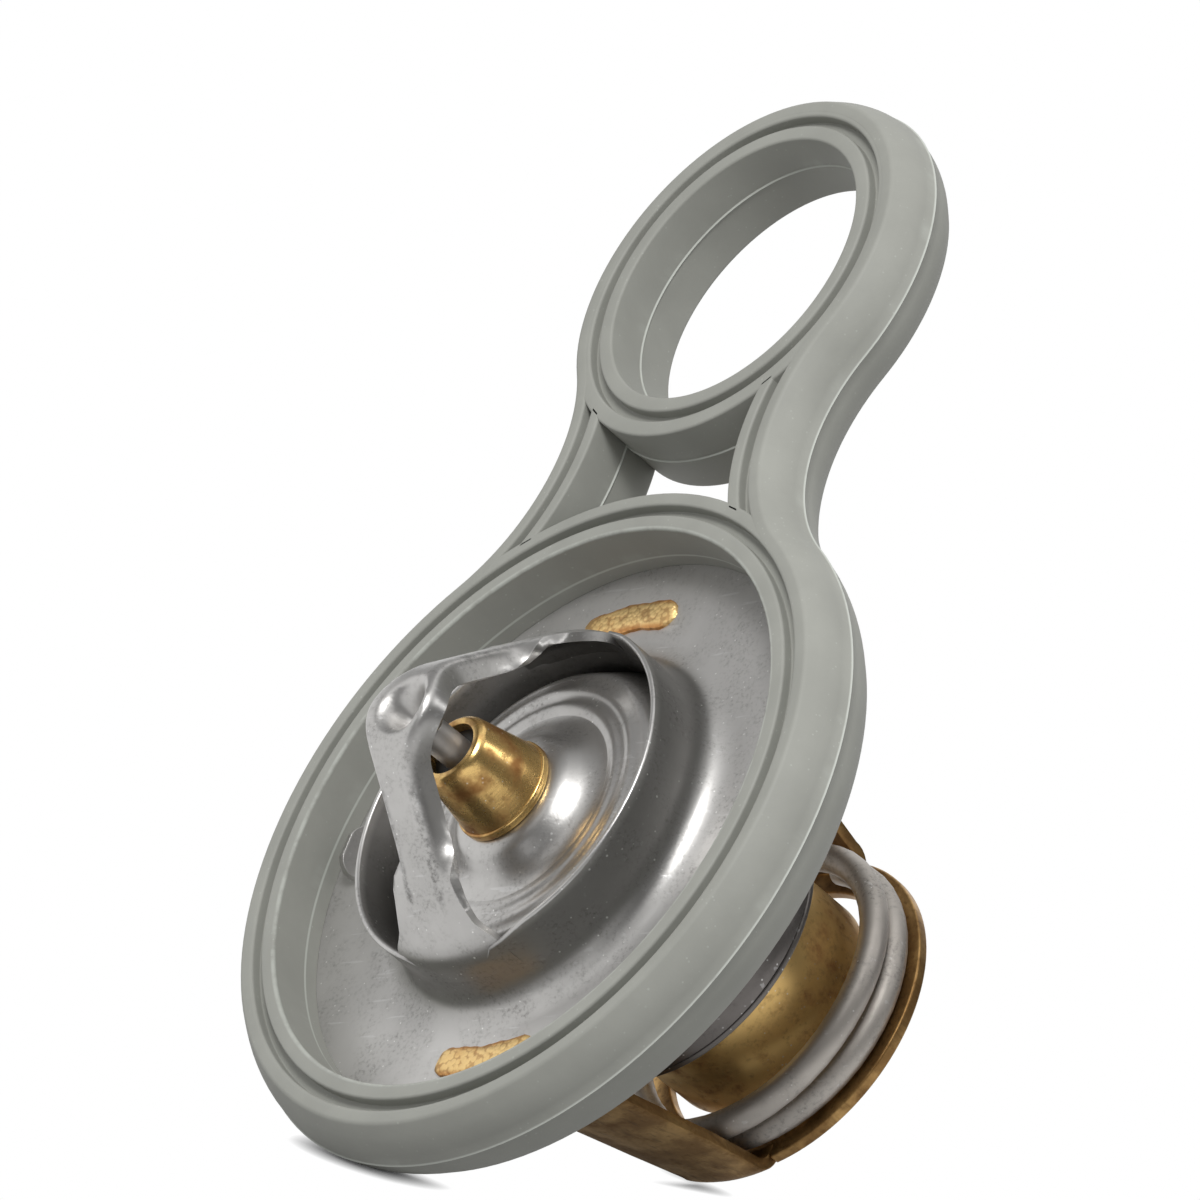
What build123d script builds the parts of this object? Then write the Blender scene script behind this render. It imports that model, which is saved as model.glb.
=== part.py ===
"""Engine thermostat: a wax element valve in a pressed flange, held in a keyhole rubber seal.

Z is the valve's axis and points at the bridge's nose. The origin is at the flange's centre, in the
middle of the seal. Y points at the by-pass ring. Sizes are in millimetres.
"""
import math
import os

from build123d import *

# Seal: two rings joined by a two-walled neck
SEAL_T = 8.14
BIG_BORE = 27.4
BIG_RING_W = 3.8
SMALL_BORE = 13.8
SMALL_RING_W = 4.06
RING_GAP = 6.44
NECK_R = 17.8
NECK_WALL = 3.5
INNER_LIP = 1.5
OUTER_LIP = 1.25
GROOVE_W = 1.0
GROOVE_D = 1.1
BULGE = 1.8

# Flange pressing: stepped flange, collar, bridge and nose
SHEET = 1.0
FLANGE_GRIP = 2.3
STEP_INSET = 1.0
STEP_RUN = 1.6
STEP_DROP = 2.0
COLLAR_R = 16.1
COLLAR_TOP = 5.85
ROOT_FILLET = 3.0
ARCH_R = 8.0
LEAN = 43
NOSE_W = 8.8
WAIST_W = 4.9
WAIST_Y = 9.2
FOOT_W = 11.6
DIMPLE_R = 2.9
DIMPLE_FLOOR_R = 1.6
DIMPLE_D = 3.2
LUG_OVER = 0.6
LUG_L = 3.6
LUG_W = 5.0
LUG_H = 2.2

# Stirrup: brass strap with two legs and a holed plate
STRAP = 1.1
TAB_L = 10.6
HEAD_W = 2.1
HEAD_H = 0.45
LEG_W = 11.2
LEG_FLARE = 0.3
LEG_FOOT_W = 9.6
STIRRUP_TURN = 5
PLATE_RIM = 0.53
PLATE_CLEAR = 2.35
PLATE_Z = -31.0
LEG_CLEAR = 0.43
BEND_R = 2.2

# Valve: disc, spring cup, clamp ring
DISC_T = 0.9
DISC_LIP = 0.3
DISC_FLAT_Z = 3.0
NECK_TOP_R = 5.6
NECK_TOP_Z = 5.3
NECK_FOOT_R = 7.4
RIDGE_INSETS = (1.4, 3.2)
RIDGE_W = 0.9
RIDGE_H = 0.35
SEAT_GAP = 0.25
SEAT_ANGLE = 34
CUP_ROOM = 2.35
CUP_LIP = 0.7
CUP_FLARE = 4.0
CUP_END_Z = -18.2
CUP_T = 0.8
RING_T = 0.6

# Wax element: capsule, sleeve, piston, boot
CAPSULE_R = 10.05
CAPSULE_END_Z = -29.2
CAPSULE_WALL = 0.95
CAPSULE_LIP_R = 6.6
CRIMP_D = 0.45
CRIMP_L = 1.3
SLEEVE_BASE_R = 4.8
SLEEVE_TOP_R = 3.25
SLEEVE_ROOM = 1.9
SLEEVE_STEP = 0.8
SLEEVE_SHANK_R = 3.9
SLEEVE_FLANGE_T = 1.9
COUNTERBORE_R = 2.35
COUNTERBORE_D = 1.9
PISTON_R = 1.45
RUN_GAP = 0.05
PISTON_IN = 13.2
BOOT_GAP = 0.3
BOOT_R = 3.4
BOOT_FLANGE_T = 1.2
WIPER_T = 1.0

# Valve spring: wider at the disc than at the plate
WIRE_R = 1.22
COIL_CLEAR = 0.33
REAR_CLEAR = 0.23
SPRING_GAP = 0.2
TURNS = 3.7
FLAT_TURNS = 0.3
CLOSED_PITCH = 3.75
OPEN_TURNS = (1.3, 2.6)
WIDEN_TURNS = (1.22, 1.52)
END_ANGLE = 79
STEPS_PER_TURN = 24

# Sizes and levels that follow from those above
HALF = SEAL_T / 2
BIG_R = BIG_BORE + BIG_RING_W
SMALL_R = SMALL_BORE + SMALL_RING_W
RING_SPAN = BIG_R + RING_GAP + SMALL_R
FLANGE_R = BIG_BORE + FLANGE_GRIP
STEP_OUT_R = BIG_BORE - STEP_INSET
STEP_IN_R = STEP_OUT_R - STEP_RUN
FLAT_Z = SHEET / 2 - STEP_DROP
FLAT_BACK = FLAT_Z - SHEET
COLLAR_OUT = COLLAR_R + SHEET / 2
COLLAR_IN = COLLAR_R - SHEET / 2
ROOT_R = COLLAR_OUT + ROOT_FILLET
ROOT_Z = FLAT_Z + ROOT_FILLET
BOW = (LEAN + 90) / 2
LEG_RUN = COLLAR_R - ARCH_R * math.cos(math.radians(LEAN))
LEG_DROP = LEG_RUN / math.tan(math.radians(LEAN))
ARCH_Z = COLLAR_TOP + LEG_DROP - ARCH_R * math.sin(math.radians(LEAN))
BRIDGE_TOP = ARCH_Z + ARCH_R
NOSE_Z = BRIDGE_TOP - DIMPLE_D - SHEET
LUG_R = STEP_IN_R + LUG_OVER
TAB_R = (ROOT_R + STEP_IN_R) / 2
CUP_R = CAPSULE_R + CUP_ROOM + CUP_T
CUP_RIM_R = CUP_R + CUP_LIP
PLATE_HOLE_R = CAPSULE_R + PLATE_CLEAR
SPRING_FRONT_R = CUP_RIM_R + COIL_CLEAR + WIRE_R
SPRING_REAR_R = PLATE_HOLE_R + REAR_CLEAR + WIRE_R
PLATE_R = SPRING_REAR_R + WIRE_R + PLATE_RIM
LEG_FOOT_R = SPRING_REAR_R + WIRE_R + LEG_CLEAR + STRAP
PLATE_BACK = PLATE_Z - STRAP
LEG_FLARE_Z = (FLAT_BACK + 3 * PLATE_Z) / 4
DISC_BACK = DISC_FLAT_Z - DISC_T
DISC_RIM_Z = FLAT_BACK - DISC_T
CONE_T = DISC_T / math.cos(math.radians(SEAT_ANGLE))
CUP_TOP_Z = DISC_RIM_Z - DISC_T
SPRING_LOW = PLATE_Z + WIRE_R + SPRING_GAP
SPRING_TOP = CUP_TOP_Z - CUP_T - WIRE_R - SPRING_GAP
CAPSULE_IN = CAPSULE_R - CAPSULE_WALL
WAX_R = CAPSULE_IN - CAPSULE_WALL
WAX_END_Z = CAPSULE_END_Z + CAPSULE_WALL
SLEEVE_TOP_Z = NOSE_Z - SLEEVE_ROOM
SLEEVE_FRONT = DISC_BACK - CAPSULE_WALL
SLEEVE_BACK = SLEEVE_FRONT - SLEEVE_FLANGE_T
SLEEVE_BORE = PISTON_R + RUN_GAP
COUNTERBORE_Z = SLEEVE_TOP_Z - COUNTERBORE_D
BOOT_BACK = SLEEVE_BACK - BOOT_FLANGE_T
PISTON_END_Z = SLEEVE_BACK - PISTON_IN
BOOT_FLOOR_Z = PISTON_END_Z - BOOT_GAP
BOOT_END_Z = BOOT_FLOOR_Z - (BOOT_R - SLEEVE_BORE)


def keyhole(grow):
    """The seal's outline, moved outwards by grow, as four tangent arcs."""
    to_big = BIG_R + NECK_R
    to_small = SMALL_R + NECK_R
    neck_y = (to_big**2 - to_small**2 + RING_SPAN**2) / (2 * RING_SPAN)
    neck_x = math.sqrt(to_big**2 - neck_y**2)
    big = BIG_R + grow
    small = SMALL_R + grow
    low = (neck_x * big / to_big, neck_y * big / to_big)
    rise = RING_SPAN - neck_y
    high = (neck_x * small / to_small, RING_SPAN - rise * small / to_small)
    mid = (neck_x - NECK_R + grow, neck_y)
    with BuildLine() as outline:
        ThreePointArc((-low[0], low[1]), (0, -big), low)
        ThreePointArc(low, mid, high)
        ThreePointArc(high, (0, RING_SPAN + small), (-high[0], high[1]))
        ThreePointArc((-high[0], high[1]), (-mid[0], mid[1]), (-low[0], low[1]))
    return outline.edges()


def ring_discs(mode):
    """Both rings' outer discs on the sketch in work."""
    Circle(BIG_R, mode=mode)
    with Locations((0, RING_SPAN)):
        Circle(SMALL_R, mode=mode)


# Seal gasket
with BuildPart() as seal:
    for side in (1, -1):
        with BuildSketch():
            make_face(keyhole(BULGE))
        with BuildSketch(Plane.XY.offset(side * HALF)):
            make_face(keyhole(0))
        loft(ruled=True)
    with BuildSketch(Plane.XY.offset(-HALF)):
        Circle(BIG_BORE)
        with Locations((0, RING_SPAN)):
            Circle(SMALL_BORE)
    extrude(amount=SEAL_T, mode=Mode.SUBTRACT)
    with BuildSketch(Plane.XY.offset(-HALF)):
        make_face(keyhole(-NECK_WALL))
        ring_discs(Mode.SUBTRACT)
    extrude(amount=SEAL_T, mode=Mode.SUBTRACT)
    for side in (1, -1):
        with BuildSketch(Plane.XY.offset(side * HALF)):
            make_face(keyhole(-OUTER_LIP))
            make_face(keyhole(-OUTER_LIP - GROOVE_W), mode=Mode.SUBTRACT)
            ring_discs(Mode.SUBTRACT)
            for middle, bore in ((0, BIG_BORE), (RING_SPAN, SMALL_BORE)):
                with Locations((0, middle)):
                    Circle(bore + INNER_LIP + GROOVE_W)
                    Circle(bore + INNER_LIP, mode=Mode.SUBTRACT)
        extrude(amount=-side * GROOVE_D, mode=Mode.SUBTRACT)
    Cylinder(FLANGE_R, SHEET, mode=Mode.SUBTRACT)


def arch_point(radius, angle, sign):
    """A point of the bridge's arch, angle degrees above the horizontal."""
    turn = math.radians(angle)
    return (sign * radius * math.cos(turn), ARCH_Z + radius * math.sin(turn))


def leg_end(depth, sign):
    """Where a leg of the bridge ends on the collar, depth below the leg's outer face."""
    y, z = arch_point(ARCH_R - depth, LEAN, 1)
    return (sign * (y + LEG_RUN), z - LEG_DROP)


def root_point(radius, angle):
    """A point on the collar's rounded root, angle degrees below the horizontal."""
    turn = math.radians(angle)
    return (ROOT_R - radius * math.cos(turn), ROOT_Z - radius * math.sin(turn))


def cone_r(z):
    """Radius of the disc's seat cone at height z, just clear of the collar's root."""
    r, touch = root_point(ROOT_FILLET + SHEET + SEAT_GAP, SEAT_ANGLE)
    return r + (touch - z) * math.tan(math.radians(SEAT_ANGLE))


def tab_faces(width):
    """Both tabs as seen along the axis, arcs of the given width."""
    span = math.degrees(TAB_L / TAB_R)
    with BuildSketch() as tabs:
        for middle in (STIRRUP_TURN + 90, STIRRUP_TURN - 90):
            with BuildLine():
                CenterArc((0, 0), TAB_R, middle - span / 2, span)
            trace(line_width=width)
    return tabs.sketch


# Bridge: an arch bent from strip, cut to a waisted outline
with BuildPart() as bridge:
    with BuildSketch(Plane.YZ):
        for sign in (1, -1):
            with BuildLine():
                ThreePointArc((0, BRIDGE_TOP), arch_point(ARCH_R, BOW, sign), arch_point(ARCH_R, LEAN, sign))
                Polyline(
                    arch_point(ARCH_R, LEAN, sign),
                    leg_end(0, sign),
                    leg_end(SHEET, sign),
                    arch_point(ARCH_R - SHEET, LEAN, sign),
                )
                ThreePointArc(
                    arch_point(ARCH_R - SHEET, LEAN, sign),
                    arch_point(ARCH_R - SHEET, BOW, sign),
                    (0, BRIDGE_TOP - SHEET),
                )
                Line((0, BRIDGE_TOP - SHEET), (0, BRIDGE_TOP))
            make_face()
    extrude(amount=FOOT_W, both=True)
    with BuildSketch():
        with BuildLine():
            right = [
                (FOOT_W / 2, -COLLAR_OUT),
                (WAIST_W / 2, -WAIST_Y),
                (NOSE_W / 2, 0),
                (WAIST_W / 2, WAIST_Y),
                (FOOT_W / 2, COLLAR_OUT),
            ]
            left = [(-x, -y) for x, y in right]
            Spline(*right)
            Line(right[-1], left[0])
            Spline(*left)
            Line(left[-1], right[0])
        make_face()
    extrude(amount=BRIDGE_TOP, mode=Mode.INTERSECT)

# Flange, collar, bridge and nose: one pressing
with BuildPart() as flange:
    with BuildSketch(Plane.XZ):
        with BuildLine():
            Polyline(
                (ROOT_R, FLAT_Z),
                (STEP_IN_R, FLAT_Z),
                (STEP_OUT_R, SHEET / 2),
                (FLANGE_R, SHEET / 2),
                (FLANGE_R, -SHEET / 2),
                (STEP_OUT_R, -SHEET / 2),
                (STEP_IN_R, FLAT_BACK),
                (ROOT_R, FLAT_BACK),
            )
            ThreePointArc((ROOT_R, FLAT_BACK), root_point(ROOT_FILLET + SHEET, 45), (COLLAR_IN, ROOT_Z))
            Polyline(
                (COLLAR_IN, ROOT_Z),
                (COLLAR_IN, COLLAR_TOP),
                (COLLAR_OUT, COLLAR_TOP),
                (COLLAR_OUT, ROOT_Z),
            )
            ThreePointArc((COLLAR_OUT, ROOT_Z), root_point(ROOT_FILLET, 45), (ROOT_R, FLAT_Z))
        make_face()
    revolve(axis=Axis.Z)
    add(bridge.part)
    with Locations((0, 0, NOSE_Z)):
        Cone(
            DIMPLE_FLOOR_R + SHEET,
            DIMPLE_R + SHEET,
            DIMPLE_D,
            align=(Align.CENTER, Align.CENTER, Align.MIN),
        )
    with Locations((0, 0, NOSE_Z + SHEET)):
        Cone(
            DIMPLE_FLOOR_R,
            DIMPLE_R,
            DIMPLE_D,
            align=(Align.CENTER, Align.CENTER, Align.MIN),
            mode=Mode.SUBTRACT,
        )
    with BuildSketch(Plane.XY.offset(FLAT_BACK)):
        add(tab_faces(STRAP))
    extrude(amount=SHEET, mode=Mode.SUBTRACT)
    with BuildSketch(Plane.XZ):
        with BuildLine():
            Polyline(
                (-LUG_R, FLAT_Z),
                (LUG_L - LUG_R, FLAT_Z),
                (-LUG_R, FLAT_Z + LUG_H),
                close=True,
            )
        make_face()
    extrude(amount=LUG_W / 2, both=True)

# Stirrup: leaning legs, holed plate, tabs staked over in the flange's slots
with BuildPart() as stirrup:
    with BuildSketch(Plane.XZ) as strip:
        with BuildLine():
            Polyline(
                (TAB_R + STRAP / 2, FLAT_BACK),
                (LEG_FOOT_R, PLATE_BACK),
                (PLATE_HOLE_R, PLATE_BACK),
                (PLATE_HOLE_R, PLATE_Z),
                (LEG_FOOT_R - STRAP, PLATE_Z),
                (TAB_R - STRAP / 2, FLAT_BACK),
                close=True,
            )
        make_face()
        outer = strip.vertices().sort_by_distance((LEG_FOOT_R, PLATE_BACK))[0]
        fillet(outer, BEND_R)
    revolve(axis=Axis.Z)
    turn = math.radians(STIRRUP_TURN)
    across = (math.cos(turn), math.sin(turn), 0)
    with BuildSketch(Plane((0, 0, 0), x_dir=across, z_dir=(across[1], -across[0], 0))):
        with BuildLine():
            Polyline(
                (LEG_W / 2, FLAT_BACK),
                (LEG_W / 2 + LEG_FLARE, LEG_FLARE_Z),
                (LEG_FOOT_W / 2, PLATE_Z + LEG_FLARE),
                (LEG_FOOT_W / 2, PLATE_BACK),
                (-LEG_FOOT_W / 2, PLATE_BACK),
                (-LEG_FOOT_W / 2, PLATE_Z + LEG_FLARE),
                (-LEG_W / 2 - LEG_FLARE, LEG_FLARE_Z),
                (-LEG_W / 2, FLAT_BACK),
                close=True,
            )
        make_face()
    extrude(amount=TAB_R * 2, both=True, mode=Mode.INTERSECT)
    with BuildSketch(Plane.XY.offset(PLATE_BACK)):
        Circle(PLATE_R)
        with PolarLocations(LEG_FOOT_R, 2, start_angle=STIRRUP_TURN + 90):
            Rectangle(BEND_R * 2, LEG_FOOT_W, mode=Mode.SUBTRACT)
        Circle(PLATE_HOLE_R, mode=Mode.SUBTRACT)
    extrude(amount=STRAP)
    with BuildSketch(Plane.XY.offset(FLAT_BACK)):
        add(tab_faces(STRAP))
    extrude(amount=SHEET)
    with BuildSketch(Plane.XY.offset(FLAT_Z)):
        add(tab_faces(HEAD_W))
    extrude(amount=HEAD_H)

# Valve disc: raised neck, ridged flat, conical seat and rim
DISC_R = cone_r(DISC_RIM_Z) + DISC_LIP
with BuildPart() as disc:
    with BuildSketch(Plane.XZ):
        with BuildLine():
            Polyline(
                (SLEEVE_SHANK_R, NECK_TOP_Z),
                (NECK_TOP_R, NECK_TOP_Z),
                (NECK_FOOT_R, DISC_FLAT_Z),
                (cone_r(DISC_FLAT_Z), DISC_FLAT_Z),
                (cone_r(DISC_RIM_Z), DISC_RIM_Z),
                (DISC_R, DISC_RIM_Z),
                (DISC_R, DISC_RIM_Z - DISC_T),
                (cone_r(DISC_RIM_Z - DISC_T) - CONE_T, DISC_RIM_Z - DISC_T),
                (cone_r(DISC_BACK) - CONE_T, DISC_BACK),
                (NECK_FOOT_R - DISC_T, DISC_BACK),
                (NECK_TOP_R - DISC_T, NECK_TOP_Z - DISC_T),
                (SLEEVE_SHANK_R, NECK_TOP_Z - DISC_T),
                close=True,
            )
        make_face()
        for inset in RIDGE_INSETS:
            with Locations((cone_r(DISC_FLAT_Z) - inset, DISC_FLAT_Z)):
                Trapezoid(RIDGE_W, RIDGE_H, 45, align=(Align.CENTER, Align.MIN))
    revolve(axis=Axis.Z)

# Spring cup: flange under the disc's rim, wall and flared edge
with BuildPart() as cup:
    with BuildSketch(Plane.XZ):
        with BuildLine():
            Polyline(
                (DISC_R, CUP_TOP_Z),
                (DISC_R, CUP_TOP_Z - CUP_T),
                (CUP_R, CUP_TOP_Z - CUP_T),
                (CUP_R, CUP_END_Z + CUP_FLARE),
                (CUP_RIM_R, CUP_END_Z + CUP_T),
                (CUP_RIM_R, CUP_END_Z),
                (CUP_R - CUP_T, CUP_END_Z),
                (CUP_R - CUP_T, CUP_TOP_Z),
                close=True,
            )
        make_face()
    revolve(axis=Axis.Z)

# Clamp ring: closes the cup around the capsule
with BuildPart() as ring:
    with BuildSketch(Plane.XY.offset(CUP_END_Z - RING_T)):
        Circle(CUP_RIM_R)
        Circle(CAPSULE_R, mode=Mode.SUBTRACT)
    extrude(amount=RING_T)

# Wax capsule: can with a lip turned in over the sleeve's flange
with BuildPart() as capsule:
    with BuildSketch(Plane.XZ):
        with BuildLine():
            Polyline(
                (CAPSULE_LIP_R, DISC_BACK),
                (CAPSULE_R, DISC_BACK),
                (CAPSULE_R, CAPSULE_END_Z + CRIMP_L + CRIMP_D),
                (CAPSULE_R - CRIMP_D, CAPSULE_END_Z + CRIMP_L),
                (CAPSULE_R - CRIMP_D, CAPSULE_END_Z + CRIMP_D),
                (CAPSULE_R - 2 * CRIMP_D, CAPSULE_END_Z),
                (0, CAPSULE_END_Z),
                (0, WAX_END_Z),
                (WAX_R, WAX_END_Z),
                (WAX_R, BOOT_BACK),
                (CAPSULE_IN, BOOT_BACK),
                (CAPSULE_IN, SLEEVE_FRONT),
                (CAPSULE_LIP_R, SLEEVE_FRONT),
                close=True,
            )
        make_face()
    revolve(axis=Axis.Z)

# Guide sleeve: tapered nose, shank through the disc, flange inside the capsule
with BuildPart() as sleeve:
    with BuildSketch(Plane.XZ):
        with BuildLine():
            Polyline(
                (SLEEVE_BORE, SLEEVE_BACK),
                (CAPSULE_IN, SLEEVE_BACK),
                (CAPSULE_IN, SLEEVE_FRONT),
                (SLEEVE_SHANK_R, SLEEVE_FRONT),
                (SLEEVE_SHANK_R, NECK_TOP_Z),
                (SLEEVE_BASE_R, NECK_TOP_Z),
                (SLEEVE_BASE_R, NECK_TOP_Z + SLEEVE_STEP),
                (SLEEVE_BASE_R - SLEEVE_STEP / 4, NECK_TOP_Z + SLEEVE_STEP),
                (SLEEVE_TOP_R, SLEEVE_TOP_Z - SLEEVE_STEP / 2),
                (SLEEVE_TOP_R - SLEEVE_STEP / 2, SLEEVE_TOP_Z),
                (COUNTERBORE_R, SLEEVE_TOP_Z),
                (COUNTERBORE_R, COUNTERBORE_Z),
                (SLEEVE_BORE, COUNTERBORE_Z),
                close=True,
            )
        make_face()
    revolve(axis=Axis.Z)

# Wiper ring in the sleeve's counterbore
with BuildPart() as wiper:
    with BuildSketch(Plane.XY.offset(COUNTERBORE_Z)):
        Circle(COUNTERBORE_R)
        Circle(SLEEVE_BORE, mode=Mode.SUBTRACT)
    extrude(amount=WIPER_T)

# Piston between the nose and the boot
with BuildPart() as piston:
    with BuildSketch(Plane.XY.offset(PISTON_END_Z)):
        Circle(PISTON_R)
    extrude(amount=NOSE_Z - PISTON_END_Z)
    chamfer(piston.edges().group_by(Axis.Z)[0], PISTON_R / 4)

# Rubber boot around the piston's inner end
with BuildPart() as boot:
    with BuildSketch(Plane.XZ):
        with BuildLine():
            Polyline(
                (SLEEVE_BORE, SLEEVE_BACK),
                (CAPSULE_IN, SLEEVE_BACK),
                (CAPSULE_IN, BOOT_BACK),
                (BOOT_R, BOOT_BACK),
                (BOOT_R, BOOT_END_Z),
                (0, BOOT_END_Z),
                (0, BOOT_FLOOR_Z),
                (SLEEVE_BORE, BOOT_FLOOR_Z),
                close=True,
            )
        make_face()
    revolve(axis=Axis.Z)

# Wax charge around the boot
with BuildPart() as wax:
    with BuildSketch(Plane.XZ):
        with BuildLine():
            Polyline(
                (BOOT_R, BOOT_BACK),
                (WAX_R, BOOT_BACK),
                (WAX_R, WAX_END_Z),
                (0, WAX_END_Z),
                (0, BOOT_END_Z),
                (BOOT_R, BOOT_END_Z),
                close=True,
            )
        make_face()
    revolve(axis=Axis.Z)


def ease(turns, window):
    """Smooth rise from 0 to 1 across a window of turns."""
    share = min(max((turns - window[0]) / (window[1] - window[0]), 0), 1)
    return share**2 * (3 - 2 * share)


def coil_point(turns):
    """A point of the spring's wire, so many turns from its end on the plate."""
    angle = math.radians(END_ANGLE - 360 * turns)
    radius = SPRING_REAR_R + (SPRING_FRONT_R - SPRING_REAR_R) * ease(turns, WIDEN_TURNS)
    sloped = TURNS - 2 * FLAT_TURNS
    closed_rise = CLOSED_PITCH * min(max(turns - FLAT_TURNS, 0), sloped)
    open_rise = (SPRING_TOP - SPRING_LOW - CLOSED_PITCH * sloped) * ease(turns, OPEN_TURNS)
    return (radius * math.cos(angle), radius * math.sin(angle), SPRING_LOW + closed_rise + open_rise)


# Valve spring: closed coils at both ends, open and widening turns between them
coil_steps = round(TURNS * STEPS_PER_TURN)
with BuildPart() as spring:
    with BuildLine() as coil:
        Polyline(*[coil_point(TURNS * step / coil_steps) for step in range(coil_steps + 1)])
    with BuildSketch(Plane(coil.line @ 0, z_dir=coil.line % 0)):
        Circle(WIRE_R)
    sweep(path=coil.line, transition=Transition.RIGHT)

pieces = {
    "seal_gasket": seal,
    "flange_bridge": flange,
    "stirrup": stirrup,
    "valve_disc": disc,
    "spring_cup": cup,
    "clamp_ring": ring,
    "wax_capsule": capsule,
    "guide_sleeve": sleeve,
    "wiper_ring": wiper,
    "piston": piston,
    "rubber_boot": boot,
    "wax_charge": wax,
    "valve_spring": spring,
}
os.makedirs("parts", exist_ok=True)
for name, piece in pieces.items():
    piece.part.label = name
    export_step(piece.part, f"parts/{name}.step")
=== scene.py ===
"""Dresses the engine thermostat: a wax valve in a pressed flange, held in a keyhole rubber seal.

Lengths are in metres, in the frame of the solids: Z is the valve's axis and points at the bridge's nose,
Y points at the by-pass ring.
"""
import math

import bmesh
import bpy
from bpy.props import FloatProperty, FloatVectorProperty, PointerProperty
from bpy.types import Operator, Panel, PropertyGroup
from mathutils import Matrix, Vector


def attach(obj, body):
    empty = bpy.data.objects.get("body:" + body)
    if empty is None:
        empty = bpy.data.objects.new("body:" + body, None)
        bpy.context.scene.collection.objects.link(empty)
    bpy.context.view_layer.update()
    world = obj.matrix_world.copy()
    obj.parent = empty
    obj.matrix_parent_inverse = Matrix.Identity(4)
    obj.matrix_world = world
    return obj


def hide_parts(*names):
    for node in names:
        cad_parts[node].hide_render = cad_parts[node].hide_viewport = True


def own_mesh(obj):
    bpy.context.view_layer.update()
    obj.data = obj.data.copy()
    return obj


bl_info = {
    "name": "Engine thermostat",
    "version": (1, 0, 0),
    "blender": (4, 5, 0),
    "location": "View3D > Sidebar > Thermostat",
    "description": "Builds the dressed engine thermostat piece by piece",
    "category": "Add Mesh",
}

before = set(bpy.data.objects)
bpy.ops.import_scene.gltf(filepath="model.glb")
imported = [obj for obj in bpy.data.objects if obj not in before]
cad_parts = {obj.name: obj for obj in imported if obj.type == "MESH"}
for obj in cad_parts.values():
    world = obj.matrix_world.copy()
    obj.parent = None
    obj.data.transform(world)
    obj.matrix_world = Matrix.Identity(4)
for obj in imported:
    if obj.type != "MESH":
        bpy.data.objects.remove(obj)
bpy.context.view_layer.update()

MM = 0.001
MERGE = 0.002 * MM
CLEAR = 0.02 * MM
ROUND_STEPS = 5
SOFT_STEPS = 2
RING_STEPS = 128
PIN_STEPS = 64
SHARP_ANGLE = math.radians(38)
SEAL_LIP = 27.5 * MM


def length(name, description, millimetres):
    """A length, written in millimetres and kept in metres."""
    return FloatProperty(
        name=name, description=description, default=millimetres * MM, unit="LENGTH", precision=6
    )


def turn(name, description, degrees):
    """An angle, written in degrees."""
    return FloatProperty(name=name, description=description, default=math.radians(degrees), subtype="ANGLE")


def tint(name, description, red, green, blue):
    """A colour in linear light."""
    return FloatVectorProperty(
        name=name, description=description, default=(red, green, blue), subtype="COLOR", size=3, min=0,
        max=1,
    )


class SealSettings(PropertyGroup):
    """Sizes of the rubber seal."""

    thickness: length("Thickness", "From face to face", 8.14)
    big_bore: length("Big bore", "Radius inside the big ring", 27.4)
    big_width: length("Big ring width", "Rubber between the big bore and the outline", 3.8)
    small_bore: length("Small bore", "Radius inside the by-pass ring", 13.8)
    small_width: length("Small ring width", "Rubber between the small bore and the outline", 4.06)
    ring_gap: length("Ring gap", "Window between the two rings", 6.44)
    neck_radius: length("Neck radius", "Hollow curve of the outline between the rings", 17.8)
    neck_wall: length("Neck wall", "Thickness of each wall of the neck", 3.5)
    inner_lip: length("Inner lip", "Width of the lip along each bore", 1.5)
    outer_lip: length("Outer lip", "Width of the lip along the outline", 1.25)
    groove: length("Groove", "Width between the lips", 1.0)
    groove_depth: length("Groove depth", "Below the lips", 1.1)
    bulge: length("Bulge", "How far the outer wall stands out at half thickness", 1.78)
    edge: length("Edge rounding", "Rounding of the lips", 0.26)
    flash: length("Flash", "Height of the moulding line", 0.13)
    slot_radius: length("Slot radius", "How far the flange reaches into the rubber", 29.7)


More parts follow.
